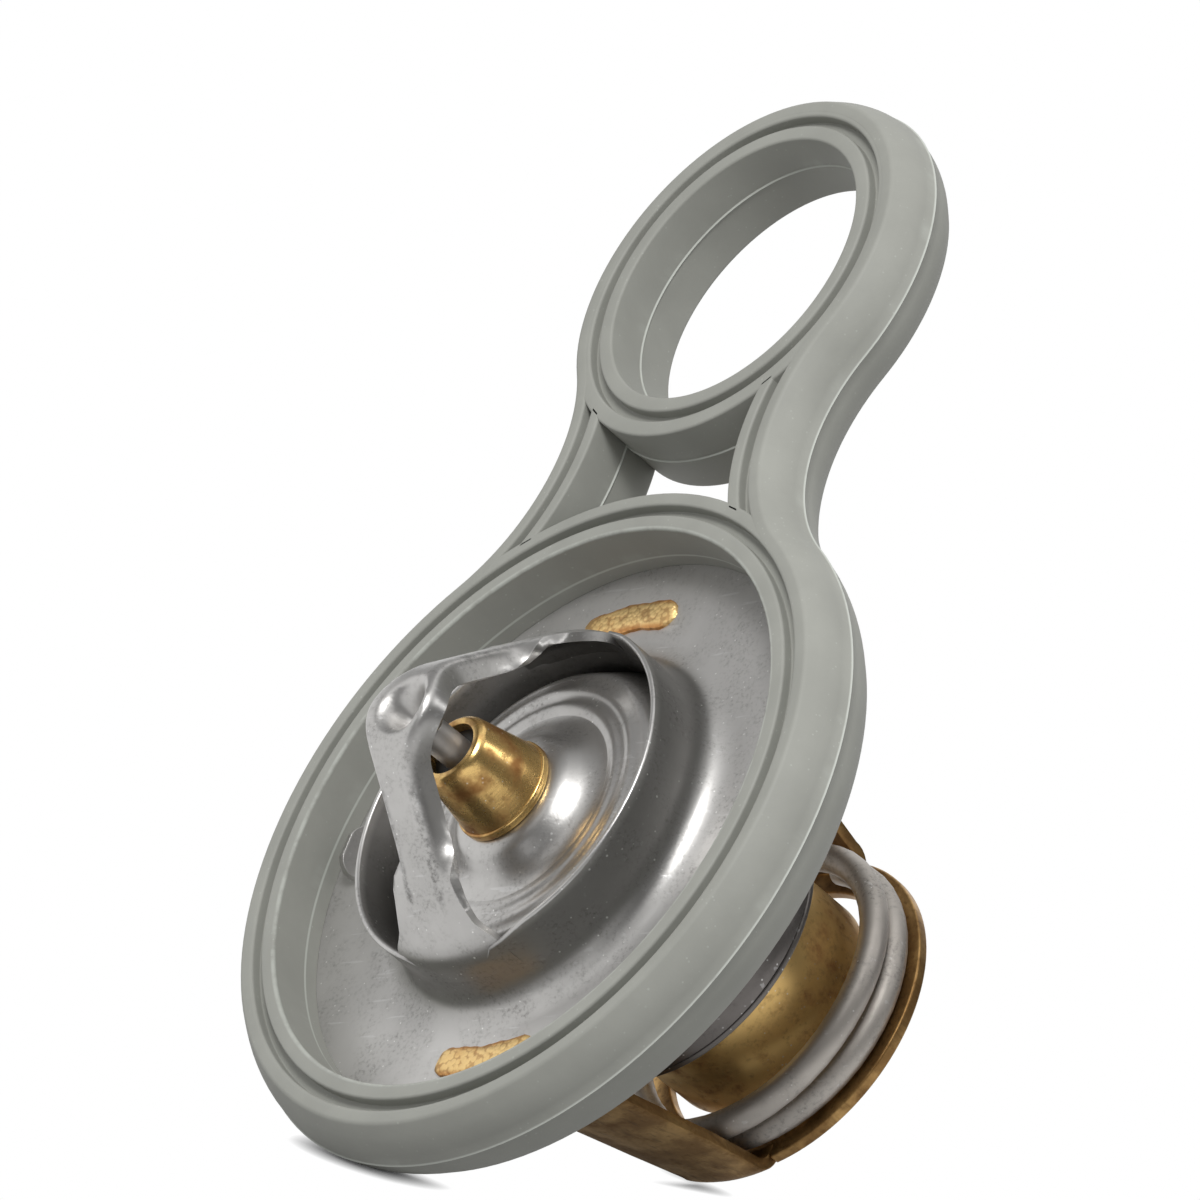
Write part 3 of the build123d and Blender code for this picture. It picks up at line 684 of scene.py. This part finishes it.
class BuildSeal(Operator):
    """Moulded keyhole seal: a bulged band round two lipped rings and a two-walled neck."""

    bl_idname = "thermostat.seal"
    bl_label = "Seal"

    BULGE_SHARE = 0.8
    BULGE_LEVEL = 0.52
    NECK_STEPS = 24
    TUCK = 0.4 * MM

    def execute(self, context):
        s = context.scene.thermostat_seal
        half = s.thickness / 2
        floor = half - s.groove_depth
        big = s.big_bore + s.big_width
        small = s.small_bore + s.small_width
        span = big + s.ring_gap + small
        to_big = big + s.neck_radius
        to_small = small + s.neck_radius
        neck_y = (to_big**2 - to_small**2 + span**2) / (2 * span)
        neck_x = math.sqrt(to_big**2 - neck_y**2)
        low = math.atan2(neck_y, neck_x)
        high = math.atan2(span - neck_y, neck_x)
        bm = bmesh.new()

        crest = s.bulge - s.flash
        flank = (self.BULGE_SHARE * crest, self.BULGE_LEVEL * half, half / 4)
        band = [(-s.outer_lip, half, s.edge), (0, half, s.edge), flank, (crest, s.flash)]
        band += [(s.bulge, 0)] + mirrored(band)
        verts, edges = wire(bm, [(big + out, 0, z) for out, z in rounded(band)])
        section = verts + edges
        for middle, angle, steps in (
            ((0, 0, 0), low, 20),
            ((neck_x, neck_y, 0), -low - high, 32),
            ((0, span, 0), math.pi + 2 * high, 84),
            ((-neck_x, neck_y, 0), -low - high, 32),
            ((0, 0, 0), math.pi + low, 90),
        ):
            spun = bmesh.ops.spin(bm, geom=section, cent=middle, axis=(0, 0, 1), angle=angle, steps=steps)
            section = spun["geom_last"]

        lip_top = half - CLEAR
        flange = context.scene.thermostat_flange
        slot_top = flange.flat + CLEAR
        slot_low = flange.flat - flange.sheet - CLEAR
        for middle, bore, outer, slotted in (
            (0, s.big_bore, big, True),
            (span, s.small_bore, small, False),
        ):
            lip = bore + s.inner_lip
            face = [
                (bore, lip_top, s.edge), (lip, lip_top, s.edge), (lip, floor, s.edge / 2),
                (lip + s.groove, floor, s.edge / 2), (lip + s.groove, lip_top, s.edge),
                (outer, lip_top, s.edge),
            ]
            wall = [(outer, s.flash), (outer + s.flash, 0), (outer, -s.flash)]
            inside = [(bore, -s.flash), (bore - s.flash, 0), (bore, s.flash)]
            if slotted:
                deep = s.slot_radius
                inside = [(bore, slot_low), (deep, slot_low), (deep, slot_top), (bore, slot_top)]
            revolve(bm, face + wall + mirrored(face) + inside, middle=middle)

        lip_in = -s.outer_lip - s.groove
        neck = [
            (-s.neck_wall, lip_top, s.edge), (lip_in, lip_top, s.edge), (lip_in, floor, s.edge / 2),
            (s.edge - s.outer_lip, floor),
        ]
        neck += mirrored(neck)
        neck += [(-s.neck_wall, -s.flash), (-s.neck_wall - s.flash, 0), (-s.neck_wall, s.flash)]
        for side in (1, -1):
            sections = []
            for step in range(self.NECK_STEPS + 1):
                section = []
                for out, z in rounded(neck):
                    reach = s.neck_radius - out
                    near = corner_angle(reach, to_big, big - self.TUCK)
                    far = corner_angle(reach, to_small, small - self.TUCK)
                    first = math.pi + low - near
                    last = math.pi - high + far
                    angle = first + (last - first) * step / self.NECK_STEPS
                    x = neck_x + reach * math.cos(angle)
                    section.append((side * x, neck_y + reach * math.sin(angle), z))
                sections.append(section)
            loft(bm, sections)

        material = rubber_finish(context.scene.thermostat_finish)
        piece("moulded_seal", bm, "housing", "seal_rubber", material, "seal_gasket")
        return {"FINISHED"}


class BuildFlange(Operator):
    """Pressed flange: flat ring, drawn collar, lug, and a bridge with a pit for the piston."""

    bl_idname = "thermostat.flange"
    bl_label = "Flange and bridge"

    ARCH_STEPS = 16
    LEG_STEPS = 14
    SHOULDER_STEPS = 8
    HALF_STEPS = 16
    LUG_STEPS = 12
    PRESSES = 4
    PRESSED_SHEET = 0.8
    FLARE_POWER = 1.2
    FOOT_RUN = 1.5 * MM
    LUG_RISE_POWER = 1.15
    LUG_REACH_POWER = 0.9
    LUG_ROUND = 3.2
    LUG_EDGE = 0.15 * MM
    TUCKED_SHARES = (0.34, 0.5)
    DIPPED_SHARES = (0.5, 0.85)

    def section(self, s, y, share):
        """Place across the bridge and depth of its sheet, a share of the way from the middle to an edge."""
        nose = 1 - smooth(y, 0, s.nose_end)
        ended = smooth(y, s.wall_run, s.wall_end)
        flare = max((y - s.wall_end) / (s.collar - s.wall_end), 0) ** self.FLARE_POWER
        flat = (s.leg_flat + (s.nose_flat - s.leg_flat) * nose) / 2
        sheet = s.leg_sheet + (s.nose_sheet - s.leg_sheet) * nose
        sheet += (s.run_sheet - s.leg_sheet) * ended + (s.foot - s.run_sheet) * flare
        sheet += 2 * s.fillet * smooth(y, s.collar - 2 * s.fillet, s.collar)
        bend = s.wall_bend * (1 - ended)
        out = sheet / 2 * abs(share)
        turned = min(max(out - flat, 0) / s.wall_round, bend)
        rest = max(out - flat - s.wall_round * bend, 0)
        x = min(out, flat) + s.wall_round * math.sin(turned) + rest * math.cos(bend)
        depth = s.wall_round * (1 - math.cos(turned)) + rest * math.sin(bend)
        return math.copysign(x, share), depth

    def stations(self, s):
        """Points of the bridge's outer face in the YZ plane, from the nose to a foot."""
        lean = s.lean
        arch_end = (s.arch * math.cos(lean), s.arch * math.sin(lean))
        mid = s.collar - s.sheet / 2
        run = mid - arch_end[0]
        drop = run / math.tan(lean)
        arch_z = s.collar_top + drop - arch_end[1]
        points = []
        for step in range(self.ARCH_STEPS + 1):
            angle = math.pi / 2 - (math.pi / 2 - lean) * step / self.ARCH_STEPS
            points.append((s.arch * math.cos(angle), arch_z + s.arch * math.sin(angle)))
        wall = s.collar + CLEAR
        reach = s.shoulder * math.tan(lean / 2)
        corner_z = s.collar_top - (wall - mid) / math.tan(lean)
        shoulder_y = wall - reach * math.sin(lean)
        shoulder_z = corner_z + reach * math.cos(lean)
        for step in range(1, self.LEG_STEPS + 1):
            share = step / self.LEG_STEPS
            points.append((
                arch_end[0] + (shoulder_y - arch_end[0]) * share,
                arch_z + arch_end[1] + (shoulder_z - arch_z - arch_end[1]) * share,
            ))
        for step in range(1, self.SHOULDER_STEPS + 1):
            angle = lean * (1 - step / self.SHOULDER_STEPS)
            points.append((
                wall - s.shoulder * (1 - math.cos(angle)),
                corner_z - reach + s.shoulder * math.sin(angle),
            ))
        points.append((wall, corner_z - reach - self.FOOT_RUN))
        return points

    def execute(self, context):
        s = context.scene.thermostat_flange
        finishes = context.scene.thermostat_finish
        back = s.flat - s.sheet
        soft = s.sheet / 4
        inner = s.collar - s.sheet
        sheet = self.PRESSED_SHEET * s.sheet
        bm = bmesh.new()
        revolve(bm, [
            (s.radius, s.flat, soft), (s.collar, s.flat, s.root), (s.collar, s.collar_top, soft),
            (s.collar - s.rim, s.collar_top, soft), (inner, s.flat + s.root), (inner, back, s.root),
            (s.radius, back, soft),
        ])
        turned = Matrix.Rotation(s.bridge_turn, 3, "Z")
        for vert in bm.verts:
            if vert.co.z > s.collar_top - s.rim:
                across = abs((turned.transposed() @ vert.co).x)
                vert.co.z -= s.rim_tuck * (1 - smooth(across / s.foot, *self.TUCKED_SHARES))
                vert.co.z -= s.rim_dip * (1 - smooth(across / s.foot, *self.DIPPED_SHARES))

        across = [step / self.HALF_STEPS for step in range(-self.HALF_STEPS, self.HALF_STEPS + 1)]
        legs = self.stations(s)
        walk = [(-y, z) for y, z in reversed(legs[1:])] + legs
        sections = []
        for index, (y, z) in enumerate(walk):
            ahead = walk[min(index + 1, len(walk) - 1)]
            behind = walk[max(index - 1, 0)]
            along = Vector((0, ahead[0] - behind[0], ahead[1] - behind[1])).normalized()
            inward = Vector((0, along.z, -along.y))
            round_off = smooth(abs(y), s.wall_end, s.collar)
            section = []
            for share in across:
                x, depth = self.section(s, abs(y), share)
                bow = (abs(y) - math.sqrt(max(y * y - x * x, 0))) * round_off * math.copysign(1, y)
                pit = s.pit_depth * (1 - smooth(math.hypot(x - s.pit_shift, y), s.pit_floor, s.pit_rim))
                drop = (pit**3 + depth**3) ** (1 / 3)
                section.append(turned @ (Vector((x, y - bow, z)) + inward * drop))
            sections.append(section)
        strip(bm, sections, sheet, sheet / 4, (0, 0, 1), self.PRESSES, s.wall_end + s.sheet)

        tongue = []
        low = s.flat - sheet / 4
        for step in range(self.LUG_STEPS + 1):
            along = step / self.LUG_STEPS
            rise = s.lug_height * along**self.LUG_RISE_POWER
            narrow = math.sqrt(1 - max(along - 0.5, 0) ** 2 * self.LUG_ROUND)
            x = s.lug_length * (1 - along**self.LUG_REACH_POWER) + sheet - s.lug_at
            tongue.append([(x, s.lug_width / 2 * narrow * end, low + rise) for end in across])
        strip(bm, tongue, sheet, self.LUG_EDGE, (1, 0, 1))

        # The stain share paints shade inside and on the collar, and real film along the bends.
        material = sheet_finish(
            "satin_sheet", finishes.steel, finishes.steel_dull, 0.33, (1, 0.1, 1),
            stain=lambda finish: flange_shade_and_stain(finish, s),
            matt=lambda finish: flange_matt(finish, s),
        )
        piece("pressed_flange", bm, "housing", "flange_steel", material, "flange_bridge")
        return {"FINISHED"}


class BuildStirrup(Operator):
    """Brass stirrup: two legs that follow the spring's round, a holed plate and staked tab heads."""

    bl_idname = "thermostat.stirrup"
    bl_label = "Stirrup"

    BEND_STEPS = 6
    BEND_ANGLE = math.radians(78)
    HALF_STEPS = 6
    HEAD_STEPS = 24
    HEAD_SINK = 0.05 * MM
    HEAD_PLUMP = 0.7
    HEAD_RISE = 0.6
    ARC_STEPS = 8

    def leg(self, s):
        """Stations of a leg's outer face: radius, level, half width."""
        plate_back = s.plate_top - s.strap
        middle = plate_back + s.bend

        def face(level):
            share = (s.back - level) / (s.back - plate_back)
            return s.top_radius + (s.foot_radius - s.top_radius) * share

        stations = []
        for level, width in (
            (s.back + 0.9 * MM, s.tab),
            (s.back, s.tab),
            (s.back - 0.4 * MM, s.leg_top),
            (s.back - 5 * MM, s.leg_top),
            ((s.back + s.wide_at) / 2, (s.leg_top + s.leg_wide) / 2),
            (s.wide_at + 2 * MM, s.leg_wide),
            (s.wide_at, s.leg_wide),
            (s.wide_at - 1.5 * MM, 0.97 * s.leg_wide),
            ((s.wide_at + middle) / 2, (s.leg_wide + s.leg_foot) / 2),
        ):
            stations.append((face(level), level, width / 2))
        for step in range(self.BEND_STEPS + 1):
            angle = self.BEND_ANGLE * step / self.BEND_STEPS
            out = face(middle) - s.bend * (1 - math.cos(angle))
            stations.append((out, middle - s.bend * math.sin(angle), s.leg_foot / 2))
        stations.append((face(middle) - s.bend, plate_back, s.leg_foot / 2))
        stations.append((s.plate_radius - 1.6 * MM, plate_back + s.strap / 4, s.leg_foot / 2))
        return stations

    def execute(self, context):
        s = context.scene.thermostat_stirrup
        finishes = context.scene.thermostat_finish
        plate_back = s.plate_top - s.strap
        bm = bmesh.new()
        edge = s.strap / 5
        revolve(bm, [
            (s.hole_radius, plate_back, edge), (s.plate_radius, plate_back, edge),
            (s.plate_radius, s.plate_top, edge), (s.hole_radius, s.plate_top, edge),
        ])
        inside = s.foot_radius - s.bend
        for vert in bm.verts:
            reach = math.hypot(vert.co.x, vert.co.y)
            if abs(vert.co.x) < s.leg_foot / 2 and reach > inside:
                vert.co.x *= inside / reach
                vert.co.y *= inside / reach

        shares = [step / self.HALF_STEPS for step in range(-self.HALF_STEPS, self.HALF_STEPS + 1)]
        flat = context.scene.thermostat_flange.flat
        blunt = 1 - s.head / s.tab
        for side in (1, -1):
            sections = []
            for radius, level, wide in self.leg(s):
                across = [wide * share for share in shares]
                sections.append([(x, side * math.sqrt(radius**2 - x**2), level) for x in across])
            strip(bm, sections, s.strap, s.edge, (0, side, 0))

            sections = []
            for step in range(self.HEAD_STEPS + 1):
                place = 2 * step / self.HEAD_STEPS - 1
                angle = side * math.pi / 2 + place * s.tab / 2 / s.tab_radius
                shrink = math.sqrt(max(1 - max((abs(place) - blunt) / (1 - blunt), 0) ** 2, 0.02))
                ragged = 1 + 0.05 * math.sin(9 * place + side) + 0.03 * math.sin(23 * place)
                section = []
                for index in range(self.ARC_STEPS + 1):
                    arc = math.pi * index / self.ARC_STEPS
                    plump = math.copysign(abs(math.cos(arc)) ** self.HEAD_PLUMP, math.cos(arc))
                    out = s.head / 2 * shrink * ragged * plump
                    rise = s.head_height * shrink * math.sin(arc) ** self.HEAD_RISE
                    radius = s.tab_radius + out
                    x, y = radius * math.cos(angle), radius * math.sin(angle)
                    section.append((x, y, flat - self.HEAD_SINK + rise))
                sections.append(section)
            loft(bm, sections)
        bmesh.ops.rotate(bm, verts=bm.verts, cent=(0, 0, 0), matrix=Matrix.Rotation(s.turned, 3, "Z"))

        material = strip_finish(finishes, s)
        piece("brass_stirrup", bm, "housing", "stirrup_brass", material, "stirrup")
        return {"FINISHED"}


class BuildSpring(Operator):
    """Coil spring: closed coils at both ends, open and widening turns between them."""

    bl_idname = "thermostat.spring"
    bl_label = "Valve spring"

    TURNS = 3.7
    FLAT_TURNS = 0.3
    OPEN_TURNS = (1.3, 2.6)
    WIDEN_TURNS = (1.22, 1.52)
    STEPS = 48
    WIRE_STEPS = 18
    END_ROUND = 0.15 * MM
    END_ANGLE = 70
    KEEP = 0.7255

    def place(self, s, turns):
        """Radius and level of the wire's middle, so many turns from its end on the plate."""
        sloped = self.TURNS - 2 * self.FLAT_TURNS
        radius = s.rear_radius + (s.front_radius - s.rear_radius) * smooth(turns, *self.WIDEN_TURNS)
        closed = s.pitch * min(max(turns - self.FLAT_TURNS, 0), sloped)
        opened = (s.top - s.low - s.pitch * sloped) * smooth(turns, *self.OPEN_TURNS)
        return radius, s.low + closed + opened

    def execute(self, context):
        s = context.scene.thermostat_spring
        bm = bmesh.new()
        bmesh.ops.create_circle(bm, segments=self.WIRE_STEPS, radius=s.wire, cap_ends=True)
        bmesh.ops.rotate(bm, verts=bm.verts, cent=(0, 0, 0), matrix=Matrix.Rotation(math.pi / 2, 3, "X"))
        radius, level = self.place(s, 0)
        bmesh.ops.translate(bm, verts=bm.verts, vec=(radius, 0, level))
        bmesh.ops.rotate(bm, verts=bm.verts, cent=(0, 0, 0), matrix=Matrix.Rotation(s.start, 3, "Z"))
        section = bm.verts[:] + bm.edges[:]
        count = round(self.TURNS * self.STEPS)
        for step in range(1, count + 1):
            turns = self.TURNS * step / count
            wider, higher = self.place(s, turns)
            section = bmesh.ops.spin(
                bm, geom=section, cent=(0, 0, 0), axis=(0, 0, 1), dvec=(0, 0, higher - level),
                angle=-2 * math.pi * self.TURNS / count, steps=1,
            )["geom_last"]
            angle = s.start - 2 * math.pi * turns
            outward = Vector((math.cos(angle), math.sin(angle), 0)) * (wider - radius)
            verts = [part for part in section if isinstance(part, bmesh.types.BMVert)]
            bmesh.ops.translate(bm, verts=verts, vec=outward)
            radius, level = wider, higher
        bmesh.ops.holes_fill(bm, edges=bm.edges, sides=0)
        soften(bm, self.END_ROUND, self.END_ANGLE)
        finishes = context.scene.thermostat_finish
        material = sheet_finish("spring_wire", finishes.wire, finishes.steel_dull, 0.5)
        obj = piece("coil_spring", bm, "housing", "spring_steel", material, "valve_spring")
        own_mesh(obj)
        return {"FINISHED"}


class BuildValve(Operator):
    """Dished valve disc, spring cup and clamp ring."""

    bl_idname = "thermostat.valve"
    bl_label = "Disc, cup and ring"

    WAVES = 2
    CREST = 1.0 * MM
    HOLLOW = 1.3 * MM
    CONE_SHIFT = 0.53

    def execute(self, context):
        s = context.scene.thermostat_valve
        wax = context.scene.thermostat_wax
        finishes = context.scene.thermostat_finish
        sheet = s.disc_sheet
        disc = bmesh.new()
        top = [
            (s.hole, s.neck_top), (s.neck_radius, s.neck_top, self.CREST),
            (s.neck_foot, s.flat, self.HOLLOW),
        ]
        first = s.neck_foot + self.HOLLOW
        spacing = (s.shoulder - sheet - first) / (2 * self.WAVES)
        for index in range(2 * self.WAVES + 1):
            top.append((first + index * spacing, s.flat + s.ridge * (index % 2), 0.42 * spacing))
        inward = self.CONE_SHIFT * sheet
        under = [
            (s.shoulder, s.flat, sheet), (s.seat_radius, s.rim, sheet / 3),
            (s.disc_radius, s.rim, sheet / 9), (s.disc_radius, s.rim - sheet, sheet / 9),
            (s.seat_radius - inward, s.rim - sheet),
            (s.shoulder - inward, s.flat - sheet), (s.neck_foot - sheet, s.flat - sheet),
            (s.neck_radius - sheet, s.neck_top - sheet), (s.hole, s.neck_top - sheet),
        ]
        revolve(disc, top + under)
        material = sheet_finish("disc_sheet", finishes.steel, finishes.steel_dull, 0.3)
        piece("dished_disc", disc, "valve", "disc_steel", material, "valve_disc")

        cup_top = s.rim - sheet - CLEAR / 2
        cup_face = s.rim - sheet - s.cup_sheet
        inner = s.cup_radius - s.cup_sheet
        rim = s.cup_radius + s.cup_lip
        edge = s.cup_sheet / 4
        cup = bmesh.new()
        revolve(cup, [
            (s.disc_radius, cup_top, edge), (s.disc_radius, cup_face, edge),
            (s.cup_radius, cup_face, s.cup_sheet / 2),
            (s.cup_radius, s.cup_end + s.cup_flare, s.cup_flare / 3),
            (rim, s.cup_end + s.cup_sheet, edge),
            (rim, s.cup_end, edge), (inner, s.cup_end, edge), (inner, cup_top, s.cup_sheet),
        ])
        ring = bmesh.new()
        low = s.cup_end - s.ring_sheet
        hole = wax.radius + CLEAR
        revolve(ring, [(hole, low, edge), (rim, low, edge), (rim, s.cup_end, edge), (hole, s.cup_end, edge)])
        material = sheet_finish("cup_sheet", finishes.cup, shade(finishes.cup, 0.5), 0.4)
        piece("cup_wall", cup, "valve", "cup_steel", material, "spring_cup")
        piece("clamp_band", ring, "valve", "cup_steel", material, "clamp_ring")
        return {"FINISHED"}


class BuildWaxElement(Operator):
    """Wax can, tapered sleeve and piston, and the finishes of what is inside the can."""

    bl_idname = "thermostat.wax"
    bl_label = "Wax element"

    EDGE = 0.2 * MM
    LEDGE = 1.2 * MM
    STEP = 0.8 * MM

    def execute(self, context):
        s = context.scene.thermostat_wax
        finishes = context.scene.thermostat_finish
        edge = self.EDGE
        inner = s.radius - s.wall
        ledge = s.flange_back - self.LEDGE
        waist = s.radius - s.crimp
        can = bmesh.new()
        revolve(can, [
            (s.lip, s.top, edge), (s.radius, s.top, s.wall / 2), (s.radius, s.end + 4 * s.crimp, s.crimp),
            (waist, s.end + 3 * s.crimp, s.crimp / 2), (waist, s.end + s.crimp, s.crimp / 2),
            (waist - s.crimp, s.end, s.crimp / 2), (0, s.end), (0, s.end + s.wall),
            (inner - s.wall, s.end + s.wall), (inner - s.wall, ledge), (inner, ledge),
            (inner, s.flange_front), (s.lip, s.flange_front),
        ])
        material = brass_finish("drawn_brass", finishes.brass, finishes.tarnish, 0.34, 0.12, 0.5)
        piece("wax_can", can, "valve", "capsule_brass", material, "wax_capsule")

        sleeve = bmesh.new()
        step = self.STEP
        deep = s.sleeve_end - s.counter_depth
        revolve(sleeve, [
            (s.bore, s.flange_back), (inner, s.flange_back), (inner, s.flange_front),
            (s.shank, s.flange_front), (s.shank, s.sleeve_foot), (s.sleeve_base, s.sleeve_foot, edge),
            (s.sleeve_base, s.sleeve_foot + step, edge),
            (s.sleeve_base - step / 4, s.sleeve_foot + step, edge / 2),
            (s.sleeve_top, s.sleeve_end - step / 2, step / 3),
            (s.sleeve_top - step / 2, s.sleeve_end, edge / 2),
            (s.counterbore, s.sleeve_end, edge / 2), (s.counterbore, deep), (s.bore, deep),
        ])
        material = brass_finish("turned_brass", finishes.brass, finishes.tarnish, 0.24, 0.18, 0.6)
        piece("tapered_sleeve", sleeve, "valve", "sleeve_brass", material, "guide_sleeve")

        pin = bmesh.new()
        revolve(pin, [
            (0, s.piston_end), (s.piston, s.piston_end, s.piston / 4), (s.piston, s.piston_top, edge),
            (0, s.piston_top),
        ], steps=PIN_STEPS)
        material = plain_finish("ground_pin", finishes.pin, 0.55, 1.0)
        piece("ground_piston", pin, "housing", "piston_steel", material, "piston")

        black = plain_finish("black_rubber", finishes.black, 0.6, 0.0)
        lip = bmesh.new()
        hole = s.piston + CLEAR
        top = deep + s.counter_depth / 2
        rim = s.counterbore
        revolve(lip, [(hole, deep), (rim, deep), (rim, top), (hole, top)], steps=PIN_STEPS)
        piece("wiper_lip", lip, "valve", "inner_rubber", black, "wiper_ring")
        dress("rubber_boot", black)
        dress("wax_charge", plain_finish("copper_wax", finishes.wax, 0.7, 0.0))
        return {"FINISHED"}


class BuildStage(Operator):
    """Camera at the photograph's angle, white floor, softboxes and dark cards for the metal to mirror."""

    bl_idname = "thermostat.stage"
    bl_label = "Stage"

    SENSOR = 36
    FAR = 20
    FLOOR_SIZE = 1.5
    FLOOR_LEVEL = 0.45
    CONTACT = 1.4 * MM
    CONTACT_POWER = 0.7
    DIMMING = 60 * MM
    MIDDLE = Vector((0, 0.015, -0.01))
    CARD_REACH = 0.6
    LAMP_REACH = 0.5
    BEHIND = Vector((-0.013, 0.093, 0.053))
    BEHIND_AIM = Vector((-0.718, 0.443, 0.537))

    def facing(self, place, direction):
        """Matrix that puts a thing at a place, with its Z axis along a direction."""
        return Matrix.Translation(place) @ direction.to_track_quat("Z", "Y").to_matrix().to_4x4()

    def plane(self, name, place, direction, size, material):
        """A square card facing a direction."""
        bm = bmesh.new()
        bmesh.ops.create_grid(bm, x_segments=1, y_segments=1, size=size)
        bmesh.ops.transform(bm, matrix=self.facing(place, direction), verts=bm.verts)
        obj = as_object(name, bm, material)
        return obj

    def felt(self, name, level):
        """An even grey for a card."""
        material = bpy.data.materials.new(name)
        graph = bare(material)
        grey = graph.add("ShaderNodeEmission", None, {"Color": (level, level, level, 1), "Strength": 1.0})
        graph.add("ShaderNodeOutputMaterial", None, {0: grey.outputs[0]})
        return material

    def softbox(self, name, direction, size, power):
        """A square lamp that lies in a direction from the middle and shines back at it."""
        light = bpy.data.lights.new(name, "AREA")
        light.shape = "SQUARE"
        light.size = size
        light.energy = power
        obj = bpy.data.objects.new(name, light)
        away = self.LAMP_REACH * direction.normalized()
        obj.matrix_world = self.facing(self.MIDDLE + away, away)
        bpy.context.scene.collection.objects.link(obj)

    def execute(self, context):
        s = context.scene.thermostat_stage
        scene = context.scene
        right, up, back = [Vector(axis) for axis in (s.right, s.up, s.back)]
        lens = bpy.data.cameras.new("eye")
        lens.lens = s.lens
        lens.sensor_width = self.SENSOR
        lens.clip_end = self.FAR
        eye = bpy.data.objects.new("eye", lens)
        eye.matrix_world = Matrix.Translation(s.eye) @ Matrix((right, up, back)).transposed().to_4x4()
        scene.collection.objects.link(eye)
        scene.camera = eye
        scene.view_settings.view_transform = "Standard"

        world = bpy.data.worlds.new("studio")
        sky = bare(world)
        seen = sky.path("Is Camera Ray", "Is Glossy Ray", "Is Transmission Ray")
        white = sky.add("ShaderNodeBackground", None, {"Color": (1, 1, 1, 1), "Strength": 1.0})
        soft = sky.add("ShaderNodeBackground", None, {"Color": (1, 1, 1, 1), "Strength": s.ambient})
        both = sky.add("ShaderNodeMixShader", None, {0: seen, 1: soft.outputs[0], 2: white.outputs[0]})
        sky.add("ShaderNodeOutputWorld", None, {0: both.outputs[0]})
        scene.world = world

        floor = bpy.data.materials.new("white_floor")
        paint = bare(floor)
        seen = paint.path("Is Camera Ray", "Is Glossy Ray", "Is Transmission Ray")
        # The floor's shade is painted from ambient occlusion: a thin contact shadow, and for what the metal
        # mirrors a wide painted shadow; for rays other than camera, glossy and transmission it glows at
        # FLOOR_LEVEL, standing in for light bounced off the floor.
        near = paint.add("ShaderNodeAmbientOcclusion", {"samples": 16}, {"Distance": self.CONTACT})
        wide = paint.add("ShaderNodeAmbientOcclusion", {"samples": 8}, {"Distance": self.DIMMING})
        in_metal = paint.path("Is Glossy Ray")
        contact = Number(paint, near.outputs["AO"]) ** self.CONTACT_POWER
        dimming = Number(paint, wide.outputs["AO"])
        shadow = contact * (1 - in_metal) + dimming * in_metal
        lit = shadow * (seen * (1 - self.FLOOR_LEVEL) + self.FLOOR_LEVEL)
        white = paint.mix(lit, (0, 0, 0), (1, 1, 1))
        glow = paint.add("ShaderNodeEmission", None, {"Color": white, "Strength": 1.0})
        clear = paint.add("ShaderNodeBsdfTransparent")
        behind = paint.add("ShaderNodeNewGeometry").outputs["Backfacing"]
        both = paint.add("ShaderNodeMixShader", None, {0: behind, 1: glow.outputs[0], 2: clear.outputs[0]})
        paint.add("ShaderNodeOutputMaterial", None, {0: both.outputs[0]})
        normal = Vector(s.floor).normalized()
        self.plane("floor", -s.floor_depth * normal, normal, self.FLOOR_SIZE, floor)

        front = back - 0.1 * up
        beside = right + 0.2 * up
        for name, place, aim, size, level in (
            ("card_front", self.MIDDLE + self.CARD_REACH * front.normalized(), front, 1.0, 0.05),
            ("card_right", self.MIDDLE + self.CARD_REACH * beside.normalized(), beside, 0.5, 0.05),
            ("card_behind", self.BEHIND, self.BEHIND_AIM, 0.06, 0.3),
        ):
            card = self.plane(name, place, -aim, size, self.felt(name, level))
            card.visible_camera = False
            card.visible_diffuse = False
            card.visible_shadow = False

        self.softbox("key", 0.7 * up + 0.7 * back - 0.06 * right, 0.15, s.key)
        self.softbox("fill", 0.5 * up + 0.3 * back + 0.8 * right, 0.12, s.fill)
        return {"FINISHED"}


class ThermostatPanel(Panel):
    """Lists the pieces of the thermostat."""

    bl_idname = "VIEW3D_PT_thermostat"
    bl_label = "Engine thermostat"
    bl_space_type = "VIEW_3D"
    bl_region_type = "UI"
    bl_category = "Thermostat"

    def draw(self, context):
        for build in BUILDERS:
            self.layout.operator(build.bl_idname)


SETTINGS = {
    "thermostat_seal": SealSettings,
    "thermostat_flange": FlangeSettings,
    "thermostat_stirrup": StirrupSettings,
    "thermostat_spring": SpringSettings,
    "thermostat_valve": ValveSettings,
    "thermostat_wax": WaxSettings,
    "thermostat_finish": FinishSettings,
    "thermostat_stage": StageSettings,
}
BUILDERS = (BuildSeal, BuildFlange, BuildStirrup, BuildSpring, BuildValve, BuildWaxElement, BuildStage)


def register():
    """Registers the settings, the operators and the panel."""
    for name, group in SETTINGS.items():
        bpy.utils.register_class(group)
        setattr(bpy.types.Scene, name, PointerProperty(type=group))
    for build in (*BUILDERS, ThermostatPanel):
        bpy.utils.register_class(build)


def unregister():
    """Takes them away again."""
    for build in (ThermostatPanel, *reversed(BUILDERS)):
        bpy.utils.unregister_class(build)
    for name, group in SETTINGS.items():
        delattr(bpy.types.Scene, name)
        bpy.utils.unregister_class(group)


def main():
    """Builds every piece and the stage."""
    register()
    bpy.ops.thermostat.seal()
    bpy.ops.thermostat.flange()
    bpy.ops.thermostat.stirrup()
    bpy.ops.thermostat.spring()
    bpy.ops.thermostat.valve()
    bpy.ops.thermostat.wax()
    bpy.ops.thermostat.stage()


if __name__ == "__main__":
    main()
